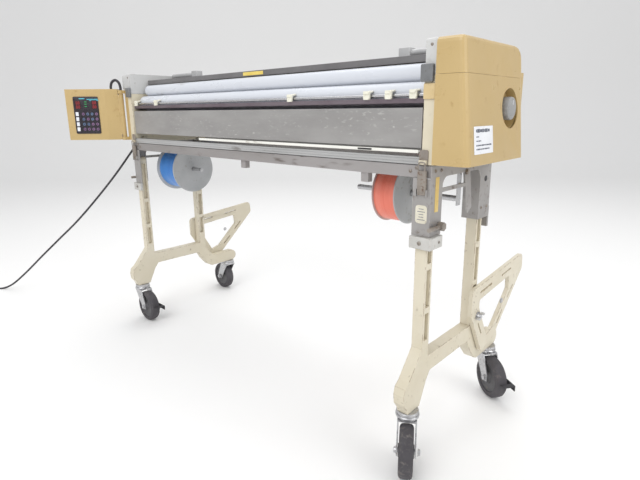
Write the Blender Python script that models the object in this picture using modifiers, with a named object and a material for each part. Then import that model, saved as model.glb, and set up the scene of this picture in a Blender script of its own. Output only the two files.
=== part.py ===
"""Wallpaper pasting machine: a roller paste coater on a folding stand with casters.

Metres, +Z up, floor at Z = 0. The sizes below are in the machine's own frame: X = 0 midway between
the side plates, +X towards the gear housing, +Y towards the back, and the front and rear legs' front
faces equally far from Y = 0. The empty "machine" carries that frame to the part's origin, the middle
of the bottom of its box.
"""

import math

import bmesh
import bpy
from mathutils import Matrix, Vector

# ---- driving dimensions -------------------------------------------------------------------------
MACHINE_X, MACHINE_Y = 0.0545, -0.0646    # the machine's mid point, from the part's origin
GAP = 0.0003                            # between pieces that touch
PLATE_IN, PLATE_OUT = 0.530, 0.553      # side plates, inner and outer faces
PLATE_FRONT, PLATE_BACK = -0.106, 0.165
RAIL_TOP = 0.598                        # top of the stand
PLATE_SPLIT = 0.7520                    # the head opens here
PLATE_TOP = 0.812
COVER_SPLIT = 0.7525                    # seam of the gear housing
HINGE_Y, HINGE_Z = 0.1445, 0.7610       # rear hinge of the head

PASTE_Y, PASTE_Z, PASTE_R = -0.065, 0.7245, 0.020
TOP_R, PICKUP_R, SHAFT_R = 0.0175, 0.0285, 0.006
GEAR_MODULE = 0.0015
PASTE_TEETH, TOP_TEETH, PICKUP_TEETH, PINION_TEETH = 27, 27, 40, 14
TOP_ANGLE, PICKUP_ANGLE, PINION_ANGLE = 63.4, -66.0, -8.0
GEAR_X0, GEAR_X1 = 0.5585, 0.5655

LEG_X, LEG_HALF = 0.5344, 0.012         # folding legs: middle and half width
LEG_FACE, LEG_DEPTH = 0.1029, 0.0235
FOLD_Z = 0.540                          # leg hinge height
FOOT_Z = 0.1215
CASTER_FRONT, CASTER_REAR = -0.1276, 0.2325
WHEEL_R, WHEEL_HALF, TRAIL = 0.050, 0.014, 0.033
ARM_Y, ARM_Z = 0.1146, 0.244            # roll arm pivot

BOX_X, BOX_Y = -0.584, -0.112           # control box hinge
BOX_TURN = math.radians(42.5)           # how far it is turned to the operator
BOX_Z0, BOX_Z1 = 0.607, 0.768

REEL_Y = 0.020
RED_Z, BLUE_Z = 0.522, 0.512
CORD_R = 0.0035

# ---- scene and helpers --------------------------------------------------------------------------
for old in list(bpy.data.objects):
    bpy.data.objects.remove(old, do_unlink=True)

PARTS = bpy.data.collections.new("wallpaper_pasting_machine")
TOOLS = bpy.data.collections.new("cutters")
for group in (PARTS, TOOLS):
    bpy.context.scene.collection.children.link(group)

machine = bpy.data.objects.new("machine", None)
machine.location = (MACHINE_X, MACHINE_Y, 0.0)
PARTS.objects.link(machine)

STEEL = (0.50, 0.48, 0.46), 0.42, 0.9
DARK_STEEL = (0.30, 0.29, 0.28), 0.5, 0.8
CREAM = (0.78, 0.73, 0.60), 0.55, 0.0
MUSTARD = (0.70, 0.50, 0.22), 0.45, 0.0
PALE_GREY = (0.66, 0.66, 0.65), 0.45, 0.0
RUBBER = (0.06, 0.055, 0.06), 0.75, 0.0
WHITE = (0.85, 0.86, 0.90), 0.35, 0.0
BLACK = (0.03, 0.03, 0.035), 0.5, 0.0
ZINC = (0.62, 0.63, 0.66), 0.35, 0.9


def finish(obj, look, origin=(0, 0, 0)):
    """Name the material, put the object's origin at a point of the machine frame, and parent it."""
    material = bpy.data.materials.new(obj.name)
    material.use_nodes = True
    shader = material.node_tree.nodes["Principled BSDF"]
    shader.inputs["Base Color"].default_value = (*look[0], 1.0)
    shader.inputs["Roughness"].default_value = look[1]
    shader.inputs["Metallic"].default_value = look[2]
    obj.data.materials.clear()
    obj.data.materials.append(material)
    obj.data.transform(Matrix.Translation(-Vector(origin)))
    obj.location = origin
    obj.parent = machine
    PARTS.objects.link(obj)
    return obj


def as_object(bm, name):
    """Turn a bmesh into an object with a mesh of its own."""
    mesh = bpy.data.meshes.new(name)
    bm.to_mesh(mesh)
    bm.free()
    return bpy.data.objects.new(name, mesh)


def add_box(bm, low, high):
    """Add the box between two corners."""
    low, high = Vector(low), Vector(high)
    matrix = Matrix.Translation((low + high) / 2) @ Matrix.Diagonal((*(high - low), 1))
    bmesh.ops.create_cube(bm, size=1.0, matrix=matrix)


def add_rod(bm, start, end, radius, sides=16, end_radius=None):
    """Add a cylinder, or a cone where the end's radius differs, between two points."""
    start, end = Vector(start), Vector(end)
    turn = (end - start).to_track_quat("Z", "Y").to_matrix().to_4x4()
    bmesh.ops.create_cone(
        bm, cap_ends=True, segments=sides, radius1=radius,
        radius2=radius if end_radius is None else end_radius,
        depth=(end - start).length, matrix=Matrix.Translation((start + end) / 2) @ turn)


def boxes(name, *corners):
    """One object made of boxes that don't touch."""
    bm = bmesh.new()
    for low, high in corners:
        add_box(bm, low, high)
    return as_object(bm, name)


def rods(name, *specs):
    """One object made of rods that don't touch; each spec is start, end, radius and sides."""
    bm = bmesh.new()
    for spec in specs:
        add_rod(bm, *spec)
    return as_object(bm, name)


def tool(obj):
    """Keep an object out of the model and use it for cutting or joining."""
    obj.hide_render = True
    obj.display_type = "WIRE"
    TOOLS.objects.link(obj)
    return obj


def boolean(obj, other, operation):
    """Join or cut by a tool, and bake the result into the object's mesh."""
    tool(other)
    scene_link = obj.name not in bpy.context.scene.objects
    if scene_link:
        TOOLS.objects.link(obj)
    modifier = obj.modifiers.new(operation.lower(), "BOOLEAN")
    modifier.operation = operation
    modifier.object = other
    modifier.solver = "EXACT"
    bpy.context.view_layer.update()
    evaluated = obj.evaluated_get(bpy.context.evaluated_depsgraph_get())
    mesh = bpy.data.meshes.new_from_object(evaluated)
    obj.modifiers.clear()
    obj.data = mesh
    if scene_link:
        TOOLS.objects.unlink(obj)
    return obj


def cut(obj, *others):
    """Cut an object by each tool in turn."""
    for other in others:
        boolean(obj, other, "DIFFERENCE")
    return obj


def unite(obj, *others):
    """Join each tool to an object in turn."""
    for other in others:
        boolean(obj, other, "UNION")
    return obj


def evaluated_mesh(obj):
    """A mesh with the object's modifiers or curve turned into faces, in the object's own frame."""
    TOOLS.objects.link(obj)
    bpy.context.view_layer.update()
    graph = bpy.context.evaluated_depsgraph_get()
    mesh = bpy.data.meshes.new_from_object(obj.evaluated_get(graph))
    bm = bmesh.new()
    bm.from_mesh(mesh)
    bmesh.ops.remove_doubles(bm, verts=bm.verts, dist=1e-6)
    bm.to_mesh(mesh)
    bm.free()
    mesh.transform(obj.matrix_world)
    bpy.data.objects.remove(obj, do_unlink=True)
    return mesh


def outline(name, points, low, high, frame=Matrix(((0, 0, 1), (1, 0, 0), (0, 1, 0)))):
    """Extrude a flat outline from low to high; by default it lies in Y and Z and is extruded along X."""
    curve = bpy.data.curves.new(name, "CURVE")
    curve.dimensions = "2D"
    curve.fill_mode = "BOTH"
    curve.extrude = (high - low) / 2
    spline = curve.splines.new("POLY")
    spline.points.add(len(points) - 1)
    for point, place in zip(spline.points, points):
        point.co = (*place, 0, 1)
    spline.use_cyclic_u = True
    obj = bpy.data.objects.new(name, curve)
    obj.matrix_world = frame.to_4x4() @ Matrix.Translation((0, 0, (low + high) / 2))
    return bpy.data.objects.new(name, evaluated_mesh(obj))


def turned(name, profile, centre, axis, sides=32):
    """Turn a closed (along the axis, radius) profile about an axis through a centre."""
    bm = bmesh.new()
    ring = [bm.verts.new((radius, 0, along)) for along, radius in profile]
    for first, second in zip(ring, ring[1:] + ring[:1]):
        bm.edges.new((first, second))
    obj = as_object(bm, name)
    screw = obj.modifiers.new("turn", "SCREW")
    screw.steps = screw.render_steps = sides
    screw.use_merge_vertices = True
    screw.merge_threshold = 1e-5
    screw.use_smooth_shade = True
    turn = Vector(axis).to_track_quat("Z", "Y").to_matrix().to_4x4()
    obj.matrix_world = Matrix.Translation(centre) @ turn
    mesh = evaluated_mesh(obj)
    bm = bmesh.new()
    bm.from_mesh(mesh)
    bmesh.ops.recalc_face_normals(bm, faces=bm.faces)
    bm.to_mesh(mesh)
    bm.free()
    return bpy.data.objects.new(name, mesh)


def tube(name, places, radius, resolution=2, closed_ends=True):
    """A round tube along points, as a filled POLY curve turned into a mesh."""
    curve = bpy.data.curves.new(name, "CURVE")
    curve.dimensions = "3D"
    curve.bevel_depth = radius
    curve.bevel_resolution = resolution
    curve.use_fill_caps = closed_ends
    spline = curve.splines.new("POLY")
    spline.points.add(len(places) - 1)
    for point, place in zip(spline.points, places):
        point.co = (*place, 1)
    return bpy.data.objects.new(name, evaluated_mesh(bpy.data.objects.new(name, curve)))


def smooth_route(points, spacing):
    """Points about a spacing apart on a Catmull-Rom curve through the route's own points."""
    points = [Vector(p) for p in points]
    ends = [2 * points[0] - points[1]] + points + [2 * points[-1] - points[-2]]
    fine = []
    for a, b, c, d in zip(ends, ends[1:], ends[2:], ends[3:]):
        for step in range(20):
            t = step / 20
            fine.append(0.5 * (2 * b + (c - a) * t + (2 * a - 5 * b + 4 * c - d) * t * t
                               + (3 * b - a - 3 * c + d) * t ** 3))
    fine.append(points[-1])
    lengths = [0.0]
    for first, second in zip(fine, fine[1:]):
        lengths.append(lengths[-1] + (second - first).length)
    count = round(lengths[-1] / spacing)
    places, k = [], 0
    for step in range(count + 1):
        target = lengths[-1] * step / count
        while k < len(fine) - 2 and lengths[k + 1] < target:
            k += 1
        share = (target - lengths[k]) / (lengths[k + 1] - lengths[k])
        places.append(fine[k].lerp(fine[k + 1], share))
    return places


def rounded(obj, width, segments=2):
    """Round an object's edges with a Bevel modifier."""
    bevel = obj.modifiers.new("round", "BEVEL")
    bevel.width = width
    bevel.segments = segments
    bevel.limit_method = "ANGLE"
    bevel.angle_limit = math.radians(40)
    return obj


def mirrored(side, low, high):
    """Corners of a box, mirrored in X for the left side."""
    if side > 0:
        return low, high
    return (-high[0], low[1], low[2]), (-low[0], high[1], high[2])


# ---- head: lower side plates, trough and rails --------------------------------------------------
def polar(centre, distance, degrees):
    """A point at a distance and angle from a centre, in Y and Z."""
    angle = math.radians(degrees)
    return centre[0] + distance * math.cos(angle), centre[1] + distance * math.sin(angle)


PASTE = (PASTE_Y, PASTE_Z)
TOP = polar(PASTE, GEAR_MODULE * (PASTE_TEETH + TOP_TEETH) / 2, TOP_ANGLE)
PICKUP = polar(PASTE, GEAR_MODULE * (PASTE_TEETH + PICKUP_TEETH) / 2, PICKUP_ANGLE)
PINION = polar(PICKUP, GEAR_MODULE * (PICKUP_TEETH + PINION_TEETH) / 2, PINION_ANGLE)


def shaft_hole(centre, side):
    """A tool that bores a side plate for a roller's shaft."""
    return rods("bore", ((side * 0.52, *centre), (side * 0.57, *centre), SHAFT_R + GAP, 24))


for side, name in ((-1, "left"), (1, "right")):
    low, high = mirrored(side, (PLATE_IN, PLATE_FRONT, RAIL_TOP + 0.0015),
                         (PLATE_OUT, PLATE_BACK, PLATE_SPLIT - GAP))
    plate = boxes(f"{name}_lower_plate", (low, high))
    cut(plate, shaft_hole(PASTE, side), shaft_hole(PICKUP, side))
    unite(plate, boxes("strike", mirrored(side, (0.5275, -0.1125, 0.6005), (0.5425, PLATE_FRONT + 0.001, 0.6080))))
    if side > 0:
        unite(plate, boxes("retainer", ((0.5305, -0.1085, 0.7130), (0.5520, PLATE_FRONT + 0.001, 0.7385))))
    finish(plate, CREAM)

TROUGH_BACK, TROUGH_Z0, TROUGH_Z1 = 0.020, 0.6285, 0.6985
TROUGH_X0, TROUGH_X1, SHEET = -0.5290, 0.5255, 0.0015
trough = boxes("paste_trough", ((TROUGH_X0, -0.1010, TROUGH_Z0), (TROUGH_X1, TROUGH_BACK, TROUGH_Z1)))
cut(trough,
    boxes("hollow", ((TROUGH_X0 + SHEET, -0.1010 + SHEET, TROUGH_Z0 + SHEET),
                     (TROUGH_X1 - SHEET, TROUGH_BACK - SHEET, TROUGH_Z1 + 0.02))),
    boxes("notch", ((TROUGH_X0 - 0.02, -0.1010 + SHEET, 0.670),
                    (TROUGH_X1 + 0.02, TROUGH_BACK - SHEET, TROUGH_Z1 + 0.02))))
finish(trough, STEEL)

strip = boxes("drip_strip", ((-0.168, -0.1048, 0.6192), (0.522, -0.1018, 0.6252)))
finish(rounded(strip, 0.0008, 1), WHITE)
top_rail = boxes("front_top_rail", ((-0.5295, -0.1050, RAIL_TOP + 0.0015), (0.5295, -0.0830, 0.6130)))
finish(rounded(top_rail, 0.001, 1), STEEL)

for name, y0, y1 in (("front_stand_rail", -0.1030, -0.0800), ("rear_stand_rail", 0.1205, 0.1430)):
    rail = boxes(name, ((-0.5490, y0, 0.5755), (0.5490, y1, RAIL_TOP)))
    cut(rail, boxes("channel", ((-0.56, y0 + 0.002, 0.5775), (0.56, y1 - 0.002, RAIL_TOP - 0.002))))
    if name == "front_stand_rail":
        for x in (0.014, 0.398):
            unite(rail, boxes("clamp", ((x - 0.009, -0.0990, 0.5560), (x + 0.009, -0.0850, 0.5760))))
    finish(rail, DARK_STEEL)

back = boxes("back_panel", ((-PLATE_IN + GAP, 0.1600, 0.6000), (PLATE_IN - GAP, 0.1615, 0.7425)))
finish(back, PALE_GREY)

# ---- stand: end frames, collars -----------------------------------------------------------------
POST_OUT, POST_IN, POST_BACK, POST_Z0 = 0.5515, 0.5495, 0.1455, 0.468
POST_DEPTH, REAR_POST = 0.0415, 0.0505
FLANGE_X = 0.5140


def arc(centre, radius, first, last, count=5):
    """Points along an arc, angles in degrees."""
    return [polar(centre, radius, first + (last - first) * k / count) for k in range(count + 1)]


def end_frame(side, name):
    """A pressed plate: top rail and two posts, with a flange turned in down each outer edge, and the
    leg lock's hanger and bars riveted between the posts."""
    front, back = -0.1055, POST_BACK
    gusset = 0.018
    shape = [(front, POST_Z0), (front + POST_DEPTH, POST_Z0)]
    shape += arc((front + POST_DEPTH + gusset, 0.5755 - gusset), gusset, 180, 90)
    shape += arc((back - REAR_POST - gusset, 0.5755 - gusset), gusset, 90, 0)
    shape += [(back - REAR_POST, POST_Z0), (back, POST_Z0), (back, RAIL_TOP), (front, RAIL_TOP)]
    edge = sorted((side * POST_IN, side * POST_OUT))
    frame = outline(name, shape, *edge)
    for y0, y1 in ((front, front + 0.002), (back - REAR_POST, back - REAR_POST + 0.002), (back - 0.002, back)):
        unite(frame, boxes("flange", mirrored(side, (FLANGE_X, y0, POST_Z0), (POST_OUT - 0.0005, y1, 0.5750))))
    hanger = [(0.022, 0.590), (0.046, 0.590), (0.058, 0.535), (0.064, 0.500), (0.048, 0.490), (0.036, 0.520),
              (0.030, 0.555)]
    inner = sorted((side * (POST_IN - 0.0035), side * (POST_IN + 0.0005)))
    unite(frame, outline("hanger", hanger, *inner))
    unite(frame, boxes("bar", mirrored(side, (POST_IN - 0.003, -0.070, 0.5465), (POST_IN + 0.0003, 0.042, 0.5540))))
    unite(frame, boxes("rear_stop", mirrored(side, (0.5133, back - 0.0010, 0.4445), (0.5500, back + 0.0060, 0.4900))))
    for x0 in (0.5228, 0.5442):
        unite(frame, boxes("latch_ear", mirrored(side, (x0, -0.1120, 0.5430), (x0 + 0.0017, front + 0.0005, 0.5560))))
    return finish(frame, STEEL)


end_frame(-1, "left_end_frame")
end_frame(1, "right_end_frame")

for side, name in ((-1, "left"), (1, "right")):
    collar = boxes(f"{name}_leg_collar", mirrored(side, (0.513, -0.1115, 0.4445), (0.5580, -0.1036, POST_Z0 - GAP)))
    unite(collar, boxes("arm", mirrored(side, (0.5500, -0.1040, 0.4445), (0.5580, -0.0660, POST_Z0 - GAP))))
    finish(collar, PALE_GREY)

# ---- paper guides over the trough ---------------------------------------------------------------
ROD_Y, ROD_Z, ROD_R = -0.0935, 0.7205, 0.0028
CLIP_X = (-0.512, -0.390, 0.190, 0.402, 0.452, 0.505)
rod = rods("guide_rod", ((-0.5295, ROD_Y, ROD_Z), (0.5295, ROD_Y, ROD_Z), ROD_R, 12))
for x in CLIP_X:
    unite(rod, boxes("clip", ((x - 0.006, -0.1030, 0.7155), (x + 0.006, -0.0925, 0.7275))))
finish(rod, CREAM)
scraper = outline("scraper_bar", [(-0.0985, 0.7065), (-0.0740, 0.7005), (-0.0720, 0.7025), (-0.0890, 0.7150),
                                  (-0.0985, 0.7150)], -0.5295, 0.5295)
finish(scraper, DARK_STEEL)

# ---- rollers and their gears --------------------------------------------------------------------
def roller(name, centre, radius, shaft_right):
    """A turned roller with a shaft at each end, its origin on its own axis."""
    left, right = -0.5450, shaft_right
    face = 0.5180
    profile = [(left, 0.0), (left, SHAFT_R), (-face, SHAFT_R), (-face, radius - 0.002), (-face + 0.002, radius),
               (face - 0.002, radius), (face, radius - 0.002), (face, SHAFT_R), (right, SHAFT_R), (right, 0.0)]
    obj = turned(name, profile, (0, *centre), (1, 0, 0), 32)
    return finish(obj, WHITE, (0, *centre))


SHAFT_END = GEAR_X0 - GAP
roller("top_roller", TOP, TOP_R, SHAFT_END)
roller("paste_roller", PASTE, PASTE_R, SHAFT_END)
roller("pickup_roller", PICKUP, PICKUP_R, SHAFT_END)


def gear(name, centre, teeth, phase):
    """A spur gear: each tooth is a trapezium on the pitch circle, with clearance at tip and root."""
    pitch = GEAR_MODULE * teeth / 2
    tip, root = pitch + 0.85 * GEAR_MODULE, pitch - 1.15 * GEAR_MODULE
    step = 2 * math.pi / teeth
    points = []
    for k in range(teeth):
        middle = phase + k * step
        for radius, share in ((root, -0.33), (tip, -0.12), (tip, 0.12), (root, 0.33)):
            angle = middle + share * step
            points.append((centre[0] + radius * math.cos(angle), centre[1] + radius * math.sin(angle)))
    return finish(outline(name, points, GEAR_X0, GEAR_X1), ZINC, (0, *centre))


def meshed(phase, teeth, other_teeth, degrees):
    """The phase of a gear in mesh with another that lies in the given direction from it."""
    line = math.radians(degrees)
    step = 2 * math.pi / teeth
    offset = (phase - line + step / 2) % step - step / 2
    return line + math.pi + math.pi / other_teeth - offset * teeth / other_teeth


paste_phase = math.radians(TOP_ANGLE)
top_phase = meshed(paste_phase, PASTE_TEETH, TOP_TEETH, TOP_ANGLE)
pickup_phase = meshed(paste_phase, PASTE_TEETH, PICKUP_TEETH, PICKUP_ANGLE)
pinion_phase = meshed(pickup_phase, PICKUP_TEETH, PINION_TEETH, PINION_ANGLE)
gear("paste_gear", PASTE, PASTE_TEETH, paste_phase)
gear("top_gear", TOP, TOP_TEETH, top_phase)
gear("pickup_gear", PICKUP, PICKUP_TEETH, pickup_phase)
gear("motor_pinion", PINION, PINION_TEETH, pinion_phase)

motor = boxes("gear_motor", ((0.5680, -0.0130, 0.6450), (0.5860, 0.0300, 0.7050)))
for z in (0.650, 0.700):
    unite(motor, rods("standoff", ((PLATE_OUT + GAP, 0.0240, z), (0.5700, 0.0240, z), 0.003, 12)))
finish(motor, DARK_STEEL)

# ---- gear housing -------------------------------------------------------------------------------
COVER_FRONT, COVER_BACK = -0.1115, 0.1300
COVER_IN = PLATE_OUT + GAP
WALL = 0.0025
TOP_X, BOTTOM_X, COVER_Z0 = 0.602, 0.621, 0.6010


def side_at(z):
    """The housing's side leans out towards the bottom: its X at a height."""
    share = (PLATE_TOP - z) / (PLATE_TOP - COVER_Z0)
    return TOP_X + (BOTTOM_X - TOP_X) * share


def cover_block(name, z0, z1, inset, open_top, open_bottom):
    """One half of the housing as a block, drawn in by an inset on its closed sides: its side outline is
    extruded in X, its outer face leans, and the outer face's edges are rounded."""
    reach = 0.01 if inset else 0.0
    low = z0 - reach if open_bottom else z0 + inset
    high = z1 + reach if open_top else z1 - inset
    front, back = COVER_FRONT + inset, COVER_BACK - inset
    shape = [(front, low), (back, low)]
    if open_top:
        shape += [(back, high), (front, high)]
    else:
        rear, nose = 0.024 - inset, 0.010 - inset
        shape += arc((back - rear, high - rear), rear, 0, 90, 4)
        shape += arc((front + nose, high - nose), nose, 90, 180, 3)
    obj = outline(name, shape, COVER_IN - reach, 0.600)
    bm = bmesh.new()
    bm.from_mesh(obj.data)
    bmesh.ops.dissolve_limit(bm, angle_limit=0.01, verts=bm.verts, edges=bm.edges)
    for vert in bm.verts:
        if vert.co.x > 0.58:
            vert.co.x = side_at(vert.co.z) - inset
    layer = bm.edges.layers.float.new("bevel_weight_edge")
    for edge in bm.edges:
        first, second = edge.verts[0].co, edge.verts[1].co
        flat_end = abs(first.z - second.z) < 1e-5 and min(abs(first.z - low), abs(first.z - high)) < 1e-5
        at_open_end = flat_end and (open_top or abs(first.z - low) < 1e-5)
        edge[layer] = 0.0 if min(first.x, second.x) < 0.58 or at_open_end else 1.0
    bm.to_mesh(obj.data)
    bm.free()
    bevel = obj.modifiers.new("round", "BEVEL")
    bevel.width = 0.0120 - inset
    bevel.segments = 4
    bevel.limit_method = "WEIGHT"
    return bpy.data.objects.new(name, evaluated_mesh(obj))


KNOB_Y, KNOB_Z = 0.0665, 0.6960
lower = cover_block("right_lower_cover", COVER_Z0, COVER_SPLIT - GAP, 0.0, True, False)
cut(lower, cover_block("inside", COVER_Z0, COVER_SPLIT, WALL, True, False))
unite(lower, rods("dish", ((0.5895, KNOB_Y, KNOB_Z), (0.6100, KNOB_Y, KNOB_Z), 0.0400, 40)))
cut(lower, rods("recess", ((0.5920, KNOB_Y, KNOB_Z), (0.64, KNOB_Y, KNOB_Z), 0.0370, 40)),
    rods("knob_hole", ((0.58, KNOB_Y, KNOB_Z), (0.61, KNOB_Y, KNOB_Z), 0.0050, 16)))
unite(lower, boxes("rear_lip", ((0.5600, COVER_BACK - 0.0010, 0.6370), (0.6010, 0.1495, 0.7510))),
      boxes("raised_lip", ((0.5600, COVER_BACK + 0.0025, 0.7450), (0.6010, 0.1495, 0.7640))))
finish(lower, MUSTARD)

upper = cover_block("right_top_cover", COVER_SPLIT, PLATE_TOP, 0.0, False, True)
cut(upper, cover_block("inside", COVER_SPLIT, PLATE_TOP, WALL, False, True))
finish(upper, MUSTARD, (0, HINGE_Y, HINGE_Z))

knob = turned("thickness_knob", [(0.5560, 0.0), (0.5560, 0.0045), (0.5930, 0.0045), (0.5930, 0.0215),
                                 (0.6150, 0.0215), (0.6175, 0.0190), (0.6175, 0.0)], (0, KNOB_Y, KNOB_Z),
              (1, 0, 0), 32)
finish(knob, PALE_GREY, (0, KNOB_Y, KNOB_Z))

# ---- opening upper unit -------------------------------------------------------------------------
HEAD_ORIGIN = (0, HINGE_Y, HINGE_Z)
for side, name in ((-1, "left"), (1, "right")):
    shape = [(PLATE_FRONT, PLATE_SPLIT)] + arc(HEAD_ORIGIN[1:], HINGE_Z - PLATE_SPLIT, -90, 0)
    shape += arc((HINGE_Y + 0.009 - 0.025, PLATE_TOP - 0.025), 0.025, 0, 90)
    shape += arc((PLATE_FRONT + 0.005, PLATE_TOP - 0.005), 0.005, 90, 180, 3)
    plate = outline(f"upper_{name}_plate", shape, *sorted((side * PLATE_IN, side * PLATE_OUT)))
    cut(plate, shaft_hole(TOP, side))
    unite(plate, boxes("keeper", mirrored(side, (0.5305, -0.1130, 0.7525), (0.5480, PLATE_FRONT + 0.001, 0.7690))))
    finish(plate, PALE_GREY, HEAD_ORIGIN)

hood_shape = [(-0.0440, 0.7810), (-0.0425, 0.7810), (-0.0425, 0.7925), (0.1400, 0.7985), (0.1400, 0.7700),
              (0.1415, 0.7700), (0.1415, 0.8000), (-0.0440, 0.7940)]
hood = outline("hood", hood_shape, -PLATE_IN + GAP, PLATE_IN - GAP)
for side in (-1, 1):
    unite(hood, boxes("block", mirrored(side, (0.378, 0.040, 0.7945), (0.404, 0.062, 0.8200))))
    unite(hood, rods("bar", ((side * 0.400, 0.051, 0.8110), (side * (PLATE_IN - GAP), 0.051, 0.8110), 0.0065, 12)))
finish(hood, DARK_STEEL, HEAD_ORIGIN)

cap = boxes("left_end_cap", ((-0.5870, -0.1040, 0.7655), (-PLATE_OUT - GAP, -0.0300, 0.8110)))
finish(rounded(cap, 0.005, 2), PALE_GREY, HEAD_ORIGIN)

# ---- control box --------------------------------------------------------------------------------
bracket = boxes("box_bracket", ((-0.5755, -0.1040, BOX_Z0), (-PLATE_OUT - GAP, -0.0500, 0.7640)))
LUG = 0.010
for z0, z1 in ((BOX_Z0, BOX_Z0 + LUG), (0.7640 - LUG, 0.7640)):
    unite(bracket, boxes("arm", ((-0.5840, -0.1100, z0), (-0.5700, -0.1020, z1))),
          rods("lug", ((BOX_X, BOX_Y, z0), (BOX_X, BOX_Y, z1), 0.0095, 24)))
cut(bracket, rods("pin_hole", ((BOX_X, BOX_Y, 0.60), (BOX_X, BOX_Y, 0.78), 0.0030 + GAP, 16)))
finish(bracket, MUSTARD)

facing = Matrix.Rotation(BOX_TURN, 3, "Z") @ Matrix(((-1, 0, 0), (0, 1, 0), (0, 0, 1)))
BOX_FRAME = Matrix.Translation((BOX_X, BOX_Y, 0)) @ facing.to_4x4()


def in_box_frame(obj):
    """Carry a mesh drawn along +X from the hinge, with +Y at its back, to where the box is turned."""
    obj.data.transform(BOX_FRAME)
    obj.data.flip_normals()
    return obj


FLAT = Matrix.Identity(3)
plan = [(0.0100, -0.0030), (0.0480, -0.0123), (0.1760, -0.0123), (0.1760, 0.0350), (0.0130, 0.0350)]
box = outline("control_box", plan, BOX_Z0 + 0.001, BOX_Z1, FLAT)
box = unite(box, boxes("web", ((0.0000, -0.0025, 0.6250), (0.0130, 0.0035, 0.7500))),
            rods("barrel", ((0, 0, BOX_Z0 + LUG + GAP), (0, 0, 0.7640 - LUG - GAP), 0.0065, 24)))
cut(box, rods("bore", ((0, 0, 0.60), (0, 0, 0.78), 0.0030 + GAP, 16)))
finish(in_box_frame(box), MUSTARD, (BOX_X, BOX_Y, 0))

keypad = boxes("control_keypad", ((0.0670, -0.0123 - GAP - 0.0012, 0.628), (0.1520, -0.0123 - GAP, 0.745)))
finish(in_box_frame(keypad), BLACK, (BOX_X, BOX_Y, 0))

cable_route = [(0.0350, 0.0100, BOX_Z1 + GAP), (0.0345, 0.0098, 0.7780), (0.0290, 0.0078, 0.7900), (0.0165, 0.0042, 0.7960),
               (0.0050, 0.0008, 0.7890), (0.0005, 0.0000, 0.7760), (0.0, 0.0, 0.7640 + GAP)]
cable = tube("control_cable", smooth_route(cable_route, 0.006), 0.0040, 2)
finish(in_box_frame(cable), BLACK, (BOX_X, BOX_Y, 0))

# ---- tape reels and their spindles --------------------------------------------------------------
def reel(name, x0, x1, z, rim, tape, look):
    """Two flanges on a hub with the tape wound between them, turned in one piece."""
    flange = 0.002
    profile = [(x0, 0.0068), (x0, rim), (x0 + flange, rim), (x0 + flange, tape), (x1 - flange, tape),
               (x1 - flange, rim), (x1, rim), (x1, 0.0068)]
    return finish(turned(name, profile, (0, REEL_Y, z), (1, 0, 0), 32), look, (0, REEL_Y, z))


reel("red_reel", 0.376, 0.434, RED_Z, 0.067, 0.063, ((0.75, 0.12, 0.10), 0.4, 0.0))
reel("blue_reel", -0.502, -0.400, BLUE_Z, 0.0755, 0.066, ((0.07, 0.18, 0.70), 0.4, 0.0))

for name, side, x_end, z in (("red", 1, 0.291, RED_Z), ("blue", -1, 0.352, BLUE_Z)):
    spindle = rods(f"{name}_spindle", ((side * x_end, REEL_Y, z), (side * 0.5440, REEL_Y, z), 0.0060, 16))
    unite(spindle, boxes("hanger", mirrored(side, (0.5430, 0.0075, z - 0.012), (0.5457, 0.0215, 0.5880))))
    finish(spindle, ZINC)

# ---- folding leg frames -------------------------------------------------------------------------
RIBS = ((0.2585, 0.3145), (0.3275, 0.4020), (0.4150, 0.5300))


def leg_frame(side, name):
    """One casting: front and rear leg, crossbar and both feet, lightened by ribbed pockets, with a
    round hinge end at the top of each leg."""
    front, back = -LEG_FACE, LEG_FACE
    depth = LEG_DEPTH
    shape = [(front, FOLD_Z), (front, 0.242), (-0.1450, 0.190), (-0.1580, 0.180), (-0.1620, 0.165),
             (-0.1600, 0.146), (-0.1500, 0.132), (-0.1460, FOOT_Z), (-0.1040, FOOT_Z), (-0.0980, 0.135),
             (-0.0820, 0.168), (-0.0680, 0.1852), (0.0960, 0.1852), (0.1120, 0.1560), (0.1350, 0.1290),
             (0.1500, FOOT_Z)]
    shape += arc((0.2440, FOOT_Z + 0.0195), 0.0195, -90, 90, 6)
    shape += [(0.1700, 0.1605), (0.1560, 0.1640), (back + depth, 0.198),
              (back + depth, FOLD_Z), (back, FOLD_Z), (back, 0.2203), (front + depth, 0.2203),
              (front + depth, FOLD_Z)]
    frame = outline(name, shape, *sorted((side * (LEG_X - LEG_HALF), side * (LEG_X + LEG_HALF))))
    for y0 in (front, back):
        unite(frame, rods("hinge_end", ((side * LEG_X, y0, FOLD_Z), (side * LEG_X, y0 + depth, FOLD_Z), LEG_HALF, 24)))
    pockets = bmesh.new()
    for y0 in (front, back):
        for z0, z1 in RIBS:
            for x0, x1 in ((LEG_X - 0.016, LEG_X - 0.004), (LEG_X + 0.004, LEG_X + 0.016)):
                add_box(pockets, *mirrored(side, (x0, y0 + 0.0055, z0), (x1, y0 + depth - 0.0055, z1)))
    cut(frame, as_object(pockets, "pockets"))
    return finish(frame, CREAM, (side * LEG_X, 0, FOLD_Z))


leg_frame(-1, "left_leg_frame")
leg_frame(1, "right_leg_frame")

# ---- roll arms ----------------------------------------------------------------------------------
ARM_IN, ARM_OUT = 0.5475, 0.5575


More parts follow.
